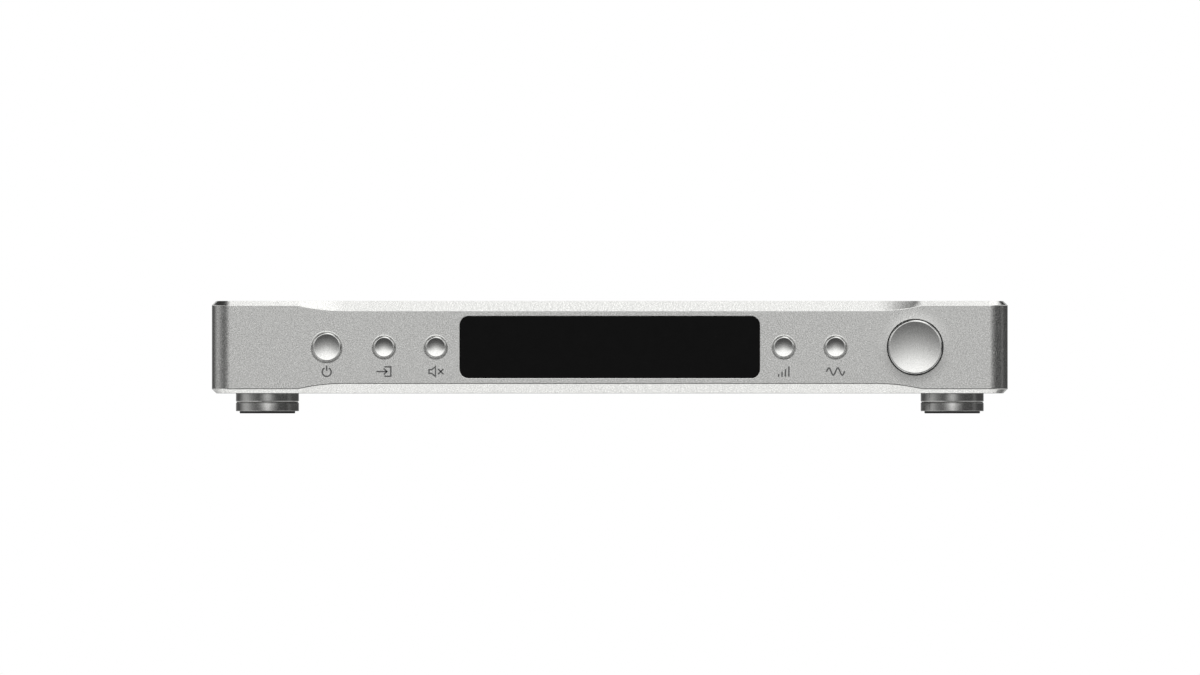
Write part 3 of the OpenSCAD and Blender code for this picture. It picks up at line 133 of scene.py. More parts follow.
def add_node(
    tree: bpy.types.NodeTree,
    kind: str,
    settings: dict[str, Any] | None = None,
    inputs: dict[str | int, Any] | None = None,
) -> bpy.types.Node:
    """Add one node, set its properties, and fill or link its inputs.

    Args:
        tree: The tree that gets the node.
        kind: The node's type name.
        settings: Properties of the node.
        inputs: Values or output sockets, by the input's name or number.

    Returns:
        The new node.
    """
    made = tree.nodes.new(kind)
    for name, value in (settings or {}).items():
        setattr(made, name, value)
    for key, value in (inputs or {}).items():
        if isinstance(value, bpy.types.NodeSocket):
            tree.links.new(value, made.inputs[key])
        else:
            made.inputs[key].default_value = value
    return made


def set_ramp(ramp: bpy.types.ColorRamp, stops: Sequence[Point]) -> None:
    """Give a colour ramp grey stops.

    Args:
        ramp: The ramp to fill.
        stops: Position and brightness of each stop, in rising order.
    """
    while len(ramp.elements) > 1:
        ramp.elements.remove(ramp.elements[-1])
    for i, (position, value) in enumerate(stops):
        element = ramp.elements[0] if i == 0 else ramp.elements.new(position)
        element.position = position
        element.color = (value, value, value, 1.0)


@dataclass(frozen=True)
class Finish:
    """A surface as its maker names it: its colour, its gloss and the marks of its making."""

    name: str
    slot: str
    colour: str
    roughness: float
    metallic: float = 0.0
    specular: float = 0.5
    coat: float = 0.0
    grain: Grain = Grain.MOULDED
    grain_mm: float = 0.5
    tone: float = 0.04
    gloss: float = 0.04
    relief_mm: float = 0.004

    def height(self, tree: bpy.types.NodeTree) -> bpy.types.NodeSocket:
        """Build the pattern of the surface's marks.

        Args:
            tree: The material's node tree.

        Returns:
            A socket that runs from 0 in a mark's bottom to 1 on its top.
        """
        place = add_node(tree, "ShaderNodeTexCoord")
        stretch = (STREAK, 1.0, 1.0) if self.grain is Grain.DRAWN else (1.0, 1.0, 1.0)
        mapped = add_node(tree, "ShaderNodeMapping", None,
                          {"Vector": place.outputs["Object"], "Scale": stretch})
        scale = 1.0 / (self.grain_mm * MM)
        detail = 0.0 if self.grain is Grain.BLASTED else 2.0
        fine = add_node(tree, "ShaderNodeTexNoise", None,
                        {"Vector": mapped.outputs[0], "Scale": scale, "Detail": detail})
        if self.grain is not Grain.BLASTED:
            return fine.outputs[0]
        pits = add_node(tree, "ShaderNodeTexVoronoi", None,
                        {"Vector": mapped.outputs[0], "Scale": scale * PIT_FINENESS})
        return add_node(tree, "ShaderNodeMix", None,
                        {0: PIT_SHARE, 2: fine.outputs[0], 3: pits.outputs["Distance"]}).outputs[0]

    def surface(self, tree: bpy.types.NodeTree, height: bpy.types.NodeSocket,
                colour: bpy.types.NodeSocket) -> bpy.types.Node:
        """Build the surface's shader.

        Args:
            tree: The material's node tree.
            height: The pattern of the marks.
            colour: The colour all over the surface.

        Returns:
            The shader node.
        """
        low, high = GLOSS_HEIGHTS
        least = max(self.roughness - self.gloss, LEAST_ROUGHNESS)
        rough = add_node(tree, "ShaderNodeMapRange", None,
                         {0: height, 1: low, 2: high, 3: least, 4: self.roughness + self.gloss})
        bump = add_node(tree, "ShaderNodeBump", None,
                        {"Height": height, "Strength": 1.0, "Distance": self.relief_mm * MM})
        return add_node(tree, "ShaderNodeBsdfPrincipled", None,
                        {"Base Color": colour, "Roughness": rough.outputs[0],
                         "Metallic": self.metallic, "Specular IOR Level": self.specular,
                         "Coat Weight": self.coat, "Normal": bump.outputs[0]})

    def shade(self, tree: bpy.types.NodeTree,
              height: bpy.types.NodeSocket) -> bpy.types.NodeSocket:
        """Build the surface's colour, a little darker in its marks and uneven from place to place.

        Args:
            tree: The material's node tree.
            height: The pattern of the marks.

        Returns:
            The colour's socket.
        """
        red, green, blue, _ = linear(self.colour)
        dark, light = (tuple(min(c * (1 + s * self.tone), 1.0) for c in (red, green, blue)) + (1.0,)
                       for s in (-1, 1))
        low, high = TONE_HEIGHTS
        marks = add_node(tree, "ShaderNodeMapRange", None, {0: height, 1: low, 2: high})
        return add_node(tree, "ShaderNodeMix", {"data_type": "RGBA"},
                        {0: marks.outputs[0], 6: dark, 7: light}).outputs[2]

    def material(self) -> bpy.types.Material:
        """Make the material, or hand back the one made before.

        Returns:
            The material.
        """
        made = bpy.data.materials.get(self.name)
        if made:
            return made
        made = bpy.data.materials.new(self.name)
        made.use_nodes = True
        tree = made.node_tree
        tree.nodes.clear()
        height = self.height(tree)
        shader = self.surface(tree, height, self.shade(tree, height))
        add_node(tree, "ShaderNodeOutputMaterial", None, {"Surface": shader.outputs[0]})
        made.diffuse_color = linear(self.colour)
        return made


@dataclass(frozen=True)
class Board(Finish):
    """Green solder mask over copper traces, with tinned pads."""

    pads_per_m: float = 180.0
    pad_reach: float = 0.17
    pad_scatter: float = 0.25
    pad_colour: str = "#b9bbb4"
    traces_per_m: float = 130.0
    trace_width: float = 0.05
    trace_scatter: float = 0.6
    trace_colour: str = "#2f7d4c"

    def shade(self, tree: bpy.types.NodeTree,
              height: bpy.types.NodeSocket) -> bpy.types.NodeSocket:
        """Build the mask's colour, lighter over the traces and bright on the pads.

        Args:
            tree: The material's node tree.
            height: The pattern of the marks.

        Returns:
            The colour's socket.
        """
        place = add_node(tree, "ShaderNodeTexCoord")
        pads = add_node(tree, "ShaderNodeTexVoronoi", {"feature": "F1"},
                        {"Vector": place.outputs["Object"], "Scale": self.pads_per_m,
                         "Randomness": self.pad_scatter})
        near = add_node(tree, "ShaderNodeMath", {"operation": "LESS_THAN"},
                        {0: pads.outputs["Distance"], 1: self.pad_reach})
        ways = add_node(tree, "ShaderNodeTexVoronoi", {"feature": "DISTANCE_TO_EDGE"},
                        {"Vector": place.outputs["Object"], "Scale": self.traces_per_m,
                         "Randomness": self.trace_scatter})
        trace = add_node(tree, "ShaderNodeMath", {"operation": "LESS_THAN"},
                         {0: ways.outputs["Distance"], 1: self.trace_width})
        mask = add_node(tree, "ShaderNodeMix", {"data_type": "RGBA"},
                        {0: trace.outputs[0], 6: linear(self.colour),
                         7: linear(self.trace_colour)})
        return add_node(tree, "ShaderNodeMix", {"data_type": "RGBA"},
                        {0: near.outputs[0], 6: mask.outputs[2],
                         7: linear(self.pad_colour)}).outputs[2]


@dataclass(frozen=True)
class Crowned(Finish):
    """Blasted metal that rises faintly round the knob and the buttons: light above, shade below."""

    knob_reach_mm: float = 14.6
    knob_fade_mm: float = 6.5
    knob_swell_mm: float = 0.12
    flange_mm: float = 1.6
    gap_mm: float = 0.3
    lip_fade_mm: float = 0.75
    lip_swell_mm: float = 0.12
    buttons: tuple[str, ...] = ("power_button", "input_button", "mute_button", "gain_button",
                                "voicing_button")

    def swell(self, tree: bpy.types.NodeTree, node: str, reach_mm: float, fade_mm: float,
              swell_mm: float) -> bpy.types.NodeSocket:
        """Build the rise of the metal round one control.

        Args:
            tree: The material's node tree.
            node: The control's CAD node.
            reach_mm: Radius at which the metal is highest.
            fade_mm: How far outside it the rise starts.
            swell_mm: Height of the rise.

        Returns:
            The height's socket, in metres.
        """
        low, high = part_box(node)
        place = add_node(tree, "ShaderNodeTexCoord")
        moved = add_node(tree, "ShaderNodeVectorMath", {"operation": "SUBTRACT"},
                         {0: place.outputs["Object"], 1: tuple((low + high) / 2)})
        flat = add_node(tree, "ShaderNodeVectorMath", {"operation": "MULTIPLY"},
                        {0: moved.outputs[0], 1: (1.0, 0.0, 1.0)})
        away = add_node(tree, "ShaderNodeVectorMath", {"operation": "LENGTH"}, {0: flat.outputs[0]})
        near = add_node(tree, "ShaderNodeMapRange", None,
                        {0: away.outputs["Value"], 1: (reach_mm + fade_mm) * MM, 2: reach_mm * MM})
        square = add_node(tree, "ShaderNodeMath", {"operation": "MULTIPLY"},
                          {0: near.outputs[0], 1: near.outputs[0]})
        return add_node(tree, "ShaderNodeMath", {"operation": "MULTIPLY"},
                        {0: square.outputs[0], 1: swell_mm * MM}).outputs[0]

    def surface(self, tree: bpy.types.NodeTree, height: bpy.types.NodeSocket,
                colour: bpy.types.NodeSocket) -> bpy.types.Node:
        """Build the surface's shader over the rises.

        Args:
            tree: The material's node tree.
            height: The pattern of the marks.
            colour: The colour all over the surface.

        Returns:
            The shader node.
        """
        shader = super().surface(tree, height, colour)
        total = self.swell(tree, "volume_knob", self.knob_reach_mm, self.knob_fade_mm,
                           self.knob_swell_mm)
        for node in self.buttons:
            low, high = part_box(node)
            reach = (high.x - low.x) / 2 / MM - self.flange_mm + self.gap_mm
            lip = self.swell(tree, node, reach, self.lip_fade_mm, self.lip_swell_mm)
            total = add_node(tree, "ShaderNodeMath", {"operation": "ADD"},
                             {0: total, 1: lip}).outputs[0]
        rise = add_node(tree, "ShaderNodeBump", None,
                        {"Height": total, "Strength": 1.0, "Distance": 1.0})
        marks = shader.inputs["Normal"].links[0].from_node
        tree.links.new(rise.outputs[0], marks.inputs["Normal"])
        return shader


# Bead-blasted, clear anodised aluminium: an even silver grey without streaks, soft reflections,
# and a fine grain. The beads leave pits of 0.1 to 0.2 mm; 0.55 mm is what the picture can show.
CASE = Finish("anodised_aluminium_blasted", "case_silver", "#c4c4c2", 0.22, 1.0,
              grain=Grain.BLASTED, grain_mm=0.55, tone=0.32, gloss=0.03, relief_mm=0.005)
FRONT = Crowned("anodised_aluminium_front", "case_silver", CASE.colour, CASE.roughness, 1.0,
                grain=CASE.grain, grain_mm=CASE.grain_mm, tone=CASE.tone, gloss=CASE.gloss,
                relief_mm=CASE.relief_mm)
# The same metal, turned and blasted more finely, so that the dishes reflect more sharply.
CONTROL = Finish("anodised_aluminium_turned", "control_silver", "#c6c6c4", 0.2, 1.0,
                 grain=Grain.BLASTED, grain_mm=0.5, tone=0.14, gloss=0.02, relief_mm=0.003)
# Turned aluminium feet, blasted and anodised: upright streaks of light on a dark ground.
FOOT = Finish("anodised_aluminium_feet", "foot_grey", "#c4c4c2", 0.18, 1.0,
              grain=Grain.BLASTED, grain_mm=0.5, tone=0.12, gloss=0.02, relief_mm=0.002)
# Powder-coated steel: deep black with a soft orange peel.
SHEET_BLACK = Finish("steel_powder_coated_black", "sheet_black", "#1b1b1c", 0.48,
                     grain=Grain.PAINTED, grain_mm=1.1, tone=0.12, gloss=0.07, relief_mm=0.02)
# Zinc-plated steel sheet: cool, faintly cloudy and half matt.
SHEET_ZINC = Finish("steel_zinc_plated", "sheet_zinc", "#a9acae", 0.34, 1.0,
                    grain=Grain.DRAWN, grain_mm=0.8, tone=0.08, gloss=0.08, relief_mm=0.004)
# Black-backed display glass with a coating that takes nearly all of its reflection away.
WINDOW = Finish("glass_black_coated", "window_black", "#0b0b0b", 0.08, specular=0.05,
                grain=Grain.PAINTED, grain_mm=6.0, tone=0.1, gloss=0.02, relief_mm=0.0005)
# Glass-filled nylon from a spark-eroded mould: dull black with a fine tooth.
PLASTIC = Finish("nylon_black_moulded", "plastic_black", "#191919", 0.42,
                 grain_mm=0.35, tone=0.12, gloss=0.06, relief_mm=0.01)
# Polycarbonate rocker from a polished mould.
ROCKER = Finish("polycarbonate_black_polished", "rocker_black", "#101010", 0.18,
                grain_mm=2.0, tone=0.08, gloss=0.04, relief_mm=0.001)
# Zinc die casting in black chrome, as on balanced sockets.
SOCKET = Finish("zinc_casting_black", "socket_shell", "#3a3a3c", 0.3, 0.85,
                grain=Grain.BLASTED, grain_mm=0.3, tone=0.1, gloss=0.05, relief_mm=0.003)
BOARD = Board("fibreglass_solder_mask", "board_green", "#1d5a37", 0.3, coat=0.3,
              grain_mm=0.9, relief_mm=0.006)
# Bright nickel-plated steel and brass.
STEEL = Finish("steel_nickel_plated", "steel", "#c9cac8", 0.2, 1.0,
               grain=Grain.DRAWN, grain_mm=0.3, tone=0.05, relief_mm=0.001)
SCREW = Finish("steel_screw_blackened", "screw_steel", "#4a4a4b", 0.32, 0.9,
               grain=Grain.PAINTED, grain_mm=0.4, tone=0.1, relief_mm=0.002)
# Gold-plated brass: warm, bright, without scratches.
GOLD = Finish("brass_gold_plated", "brass", "#e3b65e", 0.16, 1.0,
              grain=Grain.DRAWN, grain_mm=0.25, tone=0.04, relief_mm=0.001)
# Chloroprene rubber: very dull black.
RUBBER = Finish("rubber_black", "rubber_black", "#0d0d0d", 0.72, specular=0.12,
                grain_mm=0.6, tone=0.15, gloss=0.06, relief_mm=0.02)
INSULATOR = Finish("acetal_white", "white_insulator", "#e6e5e0", 0.34, grain_mm=0.6, tone=0.02)
FILM = Finish("polyester_film_red", "film_red", "#a5231e", 0.25, coat=0.4, grain_mm=3.0, tone=0.06)
CAN = Finish("sleeve_pvc_blue", "can_blue", "#1c2b58", 0.28, coat=0.3, grain_mm=4.0, tone=0.06)
SINK = Finish("aluminium_black_anodised", "sink_black", "#242426", 0.4, 0.6,
              grain=Grain.DRAWN, grain_mm=0.5, tone=0.12, relief_mm=0.006)
TAPE = Finish("polyester_tape_amber", "winding_amber", "#c08a3a", 0.24, coat=0.5,
              grain_mm=2.5, tone=0.08, relief_mm=0.004)
COPPER = Finish("copper_wire_enamelled", "winding_amber", "#b4672e", 0.26, 0.75, coat=0.6,
                grain_mm=1.5, tone=0.08, relief_mm=0.003)
FUSE = Finish("glass_fuse", "fuse_glass", "#c8ccc8", 0.08, grain_mm=3.0, tone=0.03)
RIBBON = Finish("pvc_ribbon_grey", "ribbon_grey", "#a7a8a6", 0.4, grain_mm=1.2, tone=0.04)
LEAD = Finish("pvc_lead_brown", "lead_brown", "#5a3420", 0.36, grain_mm=1.0, tone=0.06)
# Screen-printed ink, thin and dull on the blasted metal.
INK = Finish("ink_grey", "foot_grey", "#5f5f5f", 0.6, specular=0.2, grain_mm=0.3, tone=0.1)
INK_WHITE = Finish("ink_white", "white_insulator", "#dededb", 0.5, grain_mm=0.3, tone=0.03)


def body_of(node: str) -> str:
    """The name of the CAD body that a node rides on."""
    return frame["nodes"][node]["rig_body"]


def new_piece(name: str, mesh: bpy.types.Mesh, finish: Finish, body: str,
              stands_for: Sequence[str] = (), smooth_deg: float = SMOOTH_DEG) -> bpy.types.Object:
    """Put a finished mesh into the scene, dress it and let it ride on its body.

    Args:
        name: The piece's name.
        mesh: Its mesh, in the row frame.
        finish: Its surface.
        body: The CAD body that it moves with.
        stands_for: The CAD nodes that it replaces.
        smooth_deg: Edges that turn by more than this stay sharp.

    Returns:
        The new object.
    """
    mesh = eased(mesh, name, smooth_deg)
    piece = bpy.data.objects.new(name, mesh)
    bpy.context.scene.collection.objects.link(piece)
    mesh.materials.clear()
    mesh.materials.append(finish.material())
    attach(piece, body)
    if stands_for:
        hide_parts(*stands_for)
    LOG.info("%s: %d faces in %s", name, len(mesh.polygons), finish.name)
    return piece


def finished_mesh(piece: bpy.types.Object, name: str) -> bpy.types.Mesh:
    """Turn an object's modifiers into plain mesh and delete the object.

    Args:
        piece: The object with live modifiers.
        name: The new mesh's name.

    Returns:
        The mesh.
    """
    graph = bpy.context.evaluated_depsgraph_get()
    graph.update()
    mesh = bpy.data.meshes.new_from_object(
        piece.evaluated_get(graph), preserve_all_data_layers=True, depsgraph=graph)
    mesh.name = name
    piece.modifiers.clear()
    bpy.data.objects.remove(piece)
    return mesh


def linked(name: str, mesh: bpy.types.Mesh) -> bpy.types.Object:
    """Put a mesh into the scene as a draft object, for modifiers or as a tree's shape.

    Args:
        name: The name that the draft's own starts with.
        mesh: The mesh.

    Returns:
        The draft.
    """
    draft = bpy.data.objects.new(f"{name}_draft", mesh)
    bpy.context.scene.collection.objects.link(draft)
    return draft


def eased(mesh: bpy.types.Mesh, name: str, smooth_deg: float) -> bpy.types.Mesh:
    """Shade a mesh so that its flats stay flat and its narrow faces carry the turns.

    Args:
        mesh: The mesh.
        name: The new mesh's name.
        smooth_deg: Edges that turn by more than this stay sharp.

    Returns:
        The mesh with its normals set.
    """
    mesh.polygons.foreach_set("use_smooth", [True] * len(mesh.polygons))
    mesh.set_sharp_from_angle(angle=math.radians(smooth_deg))
    draft = linked(name, mesh)
    weigh = draft.modifiers.new("normals", "WEIGHTED_NORMAL")
    weigh.keep_sharp = True
    return finished_mesh(draft, name)


def mesh_of(form: bmesh.types.BMesh, name: str) -> bpy.types.Mesh:
    """Keep a form as a mesh and free it.

    Args:
        form: The form.
        name: The mesh's name.

    Returns:
        The mesh.
    """
    mesh = bpy.data.meshes.new(name)
    form.to_mesh(mesh)
    form.free()
    return mesh


def node_mesh(node: str, name: str) -> bpy.types.Mesh:
    """Copy a CAD node's triangles, merge them and join the ones that share a plane.

    Args:
        node: The CAD node.
        name: The new mesh's name.

    Returns:
        The copy.
    """
    source = frame["nodes"][node].data
    mesh = bpy.data.meshes.new(name)
    mesh.from_pydata([v.co for v in source.vertices], [], [p.vertices for p in source.polygons])
    form = bmesh.new()
    form.from_mesh(mesh)
    bmesh.ops.remove_doubles(form, verts=form.verts, dist=MERGE_MM * MM)
    bmesh.ops.dissolve_limit(form, angle_limit=math.radians(FLAT_DEG), verts=form.verts,
                             edges=form.edges)
    form.to_mesh(mesh)
    form.free()
    return mesh


def refined(node: str, finish: Finish, edge_mm: float = 0.0, name: str = "",
            smooth_deg: float = SMOOTH_DEG) -> bpy.types.Object:
    """Replace a CAD node by a smooth copy whose sharp edges are broken, as a file leaves them.

    Args:
        node: The CAD node.
        finish: Its surface.
        edge_mm: Width of the broken edges; 0 leaves them sharp. They stay inside the CAD node.
        name: The piece's name; the node's name with "_form" without one.
        smooth_deg: Edges that turn by more than this are sharp.

    Returns:
        The new piece.
    """
    name = name or f"{node}_form"
    mesh = node_mesh(node, name)
    if edge_mm:
        draft = linked(name, mesh)
        bevel = draft.modifiers.new("edges", "BEVEL")
        bevel.width = edge_mm * MM
        bevel.segments = 3
        bevel.limit_method = "ANGLE"
        bevel.angle_limit = math.radians(smooth_deg)
        bevel.use_clamp_overlap = False
        mesh = finished_mesh(draft, name)
        low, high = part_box(node)
        for vert in mesh.vertices:
            vert.co = [min(max(c, a), b) for c, a, b in zip(vert.co, low, high)]
    return new_piece(name, mesh, finish, body_of(node), [node], smooth_deg)


def dress(finish: Finish, *nodes: str) -> None:
    """Give CAD nodes their material.

    Args:
        finish: Their surface.
        nodes: The CAD nodes, whose shapes stay as they are.
    """
    for node in nodes:
        piece = frame["nodes"][node]
        if not piece.material_slots:
            piece.data.materials.append(None)
        for holder in piece.material_slots:
            holder.material = finish.material()
        LOG.info("%s: CAD solid in %s", node, finish.name)


def lathe(name: str, profile: Sequence[Point], places: Sequence[Sequence[float]], axis: Axis,
          closed: bool = False, segments: int = 128) -> bpy.types.Mesh:
    """Turn a profile round an axis, once at each place.

    Args:
        name: The mesh's name.
        profile: Radius and distance along the axis of each corner, in millimetres.
        places: The axis's origin for each copy, in metres.
        axis: The way that the axis points.
        closed: True for a ring, whose profile runs back to its first corner.
        segments: Number of steps round the axis.

    Returns:
        The mesh.
    """
    form = bmesh.new()
    for place in places:
        put = Matrix.Translation(place) @ axis.matrix()
        rings = []
        for radius, along in profile:
            count = segments if radius else 1
            rings.append([form.verts.new(put @ Vector((
                radius * MM * math.cos(2 * math.pi * i / segments),
                radius * MM * math.sin(2 * math.pi * i / segments), along * MM)))
                for i in range(count)])
        pairs = list(zip(rings, rings[1:])) + ([(rings[-1], rings[0])] if closed else [])
        for a, b in pairs:
            for i in range(segments):
                j = (i + 1) % segments
                corners = [a[i % len(a)], a[j % len(a)], b[j % len(b)], b[i % len(b)]]
                unique = list(dict.fromkeys(corners))
                if len(unique) > 2:
                    form.faces.new(unique)
    bmesh.ops.recalc_face_normals(form, faces=form.faces)
    return mesh_of(form, name)


def fillet(before: Vector, corner: Vector, after: Vector, reach: float,
           steps: int) -> list[Vector]:
    """Points of the curve that rounds the corner between two straight lines.

    Args:
        before: A point on the first line.
        corner: Where the two lines meet.
        after: A point on the second line.
        reach: How far from the corner the curve starts on each line.
        steps: Number of straight steps in the curve.

    Returns:
        The curve's points, from the first line to the second.
    """
    start = corner + (before - corner).normalized() * reach
    end = corner + (after - corner).normalized() * reach
    return [start * (1 - t) ** 2 + corner * (2 * t * (1 - t)) + end * t**2
            for t in (i / steps for i in range(steps + 1))]


def rounded_corner(inner: Point, corner: Point, outer: Point, radius: float,
                   steps: int = 6) -> list[Point]:
    """Points of a fillet between two straight lines of a profile.

    Args:
        inner: A point on the first line.
        corner: Where the two lines meet.
        outer: A point on the second line.
        radius: How far from the corner the fillet starts on each line.
        steps: Number of straight steps in the fillet.

    Returns:
        The fillet's points, from the first line to the second.
    """
    curve = fillet(Vector(inner), Vector(corner), Vector(outer), radius, steps)
    return [(p.x, p.y) for p in curve]


def geometry_tree(
    name: str, sizes: dict[str, str]
) -> tuple[bpy.types.NodeTree, bpy.types.NodeOutputs]:
    """Start a Geometry Nodes tree with named inputs.

    Args:
        name: The tree's name.
        sizes: The socket type of each input, by the input's name.

    Returns:
        The tree and the outputs of its group input.
    """
    tree = bpy.data.node_groups.new(name, "GeometryNodeTree")
    tree.interface.new_socket("Geometry", in_out="INPUT", socket_type="NodeSocketGeometry")
    for label, kind in {**sizes, "Finish": "NodeSocketMaterial"}.items():
        tree.interface.new_socket(label, in_out="INPUT", socket_type=kind)
    tree.interface.new_socket("Geometry", in_out="OUTPUT", socket_type="NodeSocketGeometry")
    return tree, add_node(tree, "NodeGroupInput").outputs


def close_tree(tree: bpy.types.NodeTree, shape: bpy.types.NodeSocket,
               finish: bpy.types.NodeSocket) -> bpy.types.NodeTree:
    """End a tree in real geometry that carries its material.

    Args:
        tree: The tree to end.
        shape: The geometry, instances among it.
        finish: The material.

    Returns:
        The same tree.
    """
    real = add_node(tree, "GeometryNodeRealizeInstances", None, {"Geometry": shape})
    dressed = add_node(tree, "GeometryNodeSetMaterial", None,
                       {"Geometry": real.outputs[0], "Material": finish})
    add_node(tree, "NodeGroupOutput", None, {0: dressed.outputs[0]})
    return tree


def set_at_points() -> bpy.types.NodeTree:
    """Make the tree that sets one shape at every point, aimed one way, each turned at random.

    Returns:
        The tree.
    """
    tree, given = geometry_tree("set_at_points", {
        "Shape": "NodeSocketObject", "Aim": "NodeSocketVector", "Turn": "NodeSocketFloat",
        "Seed": "NodeSocketInt"})
    shape = add_node(tree, "GeometryNodeObjectInfo", None, {"Object": given["Shape"]})
    turn = add_node(tree, "FunctionNodeRandomValue", {"data_type": "FLOAT"},
                    {3: given["Turn"], "Seed": given["Seed"]})
    about = add_node(tree, "FunctionNodeAxisAngleToRotation", None,
                     {"Axis": (0.0, 0.0, 1.0), "Angle": turn.outputs[1]})
    aim = add_node(tree, "FunctionNodeEulerToRotation", None, {0: given["Aim"]})
    both = add_node(tree, "FunctionNodeRotateRotation", {"rotation_space": "LOCAL"},
                    {0: aim.outputs[0], 1: about.outputs[0]})
    placed = add_node(tree, "GeometryNodeInstanceOnPoints", None,
                      {"Points": given["Geometry"], "Instance": shape.outputs["Geometry"],
                       "Rotation": both.outputs[0]})
    return close_tree(tree, placed.outputs[0], given["Finish"])


def row_of_tubes() -> bpy.types.NodeTree:
    """Make the tree that makes a tube of a path, once or in a row beside itself.

    Returns:
        The tree.
    """
    tree, given = geometry_tree("row_of_tubes", {
        "Radius": "NodeSocketFloat", "Sides": "NodeSocketInt", "Count": "NodeSocketInt",
        "Step": "NodeSocketVector"})
    path = add_node(tree, "GeometryNodeMeshToCurve", None, {"Mesh": given["Geometry"]})
    ring = add_node(tree, "GeometryNodeCurvePrimitiveCircle", None,
                    {"Resolution": given["Sides"], "Radius": given["Radius"]})
    tube = add_node(tree, "GeometryNodeCurveToMesh", None,
                    {"Curve": path.outputs[0], "Profile Curve": ring.outputs[0], "Fill Caps": True})
    line = add_node(tree, "GeometryNodeMeshLine", {"mode": "OFFSET"},
                    {"Count": given["Count"], "Offset": given["Step"]})
    placed = add_node(tree, "GeometryNodeInstanceOnPoints", None,
                      {"Points": line.outputs[0], "Instance": tube.outputs[0]})
    return close_tree(tree, placed.outputs[0], given["Finish"])


def wraps_round_ring() -> bpy.types.NodeTree:
    """Make the tree that lays a flat band along a closed section and repeats it round the Z axis.

    Returns:
        The tree.
    """
    tree, given = geometry_tree("wraps_round_ring", {
        "Wraps": "NodeSocketInt", "Band": "NodeSocketFloat", "Thickness": "NodeSocketFloat",
        "Lean": "NodeSocketFloat"})
    path = add_node(tree, "GeometryNodeMeshToCurve", None, {"Mesh": given["Geometry"]})
    face = add_node(tree, "GeometryNodeCurvePrimitiveQuadrilateral", None,
                    {"Width": given["Band"], "Height": given["Thickness"]})
    band = add_node(tree, "GeometryNodeCurveToMesh", None,
                    {"Curve": path.outputs[0], "Profile Curve": face.outputs[0]})
    points = add_node(tree, "GeometryNodeMeshLine", {"mode": "OFFSET"},
                      {"Count": given["Wraps"], "Offset": (0.0, 0.0, 0.0)})
    number = add_node(tree, "GeometryNodeInputIndex")
    step = add_node(tree, "ShaderNodeMath", {"operation": "DIVIDE"},
                    {0: 2 * math.pi, 1: given["Wraps"]})
    angle = add_node(tree, "ShaderNodeMath", {"operation": "MULTIPLY"},
                     {0: number.outputs[0], 1: step.outputs[0]})
    turn = add_node(tree, "ShaderNodeCombineXYZ", None, {"X": given["Lean"], "Z": angle.outputs[0]})
    rotation = add_node(tree, "FunctionNodeEulerToRotation", None, {0: turn.outputs[0]})
    placed = add_node(tree, "GeometryNodeInstanceOnPoints", None,
                      {"Points": points.outputs[0], "Instance": band.outputs[0],
                       "Rotation": rotation.outputs[0]})
    return close_tree(tree, placed.outputs[0], given["Finish"])


def grown(name: str, base: bpy.types.Mesh, tree: bpy.types.NodeTree,
          sizes: dict[str, Any]) -> bpy.types.Mesh:
    """Run a Geometry Nodes tree on a mesh and keep the result as plain mesh.

    Args:
        name: The result's name.
        base: The points or paths that the tree works on.
        tree: The tree.
        sizes: Its inputs by name.

    Returns:
        The result.
    """
    draft = linked(name, base)
    rule = draft.modifiers.new("rule", "NODES")
    rule.node_group = tree
    for socket in tree.interface.items_tree:
        if socket.item_type == "SOCKET" and socket.in_out == "INPUT" and socket.name in sizes:
            rule[socket.identifier] = sizes[socket.name]
    return finished_mesh(draft, name)


def points_mesh(name: str, points: Sequence[Sequence[float]],
                joined: bool = False, closed: bool = False) -> bpy.types.Mesh:
    """A mesh of loose points, or of one path through them, given in millimetres.

    Args:
        name: The mesh's name.
        points: The points.
        joined: True to join them into a path.
        closed: True to join the last one to the first.

    Returns:
        The mesh.
    """
    edges = [(i, i + 1) for i in range(len(points) - 1)] if joined else []
    if closed:
        edges.append((len(points) - 1, 0))
    mesh = bpy.data.meshes.new(name)
    mesh.from_pydata([[c * MM for c in p] for p in points], edges, [])
    return mesh


def set_pieces(name: str, shape: bpy.types.Mesh, places: Sequence[Sequence[float]], aim: Axis,
               finish: Finish, stands_for: Sequence[str]) -> None:
    """Set one shape at many places with the Geometry Nodes tree, as one piece on the chassis.

    Args:
        name: The piece's name.
        shape: The shape, pointing up from its own origin.
        places: The places in millimetres, in the row frame.
        aim: The way that the shapes point.
        finish: Their surface.
        stands_for: The CAD nodes that they replace.
    """
    model = linked(f"{name}_shape", shape)
    tree = bpy.data.node_groups.get("set_at_points") or set_at_points()
    mesh = grown(name, points_mesh(f"{name}_places", places), tree,
                 {"Shape": model, "Aim": aim.value, "Turn": SPIN, "Seed": SEED,
                  "Finish": finish.material()})
    bpy.data.objects.remove(model)
    new_piece(name, mesh, finish, "chassis", stands_for)


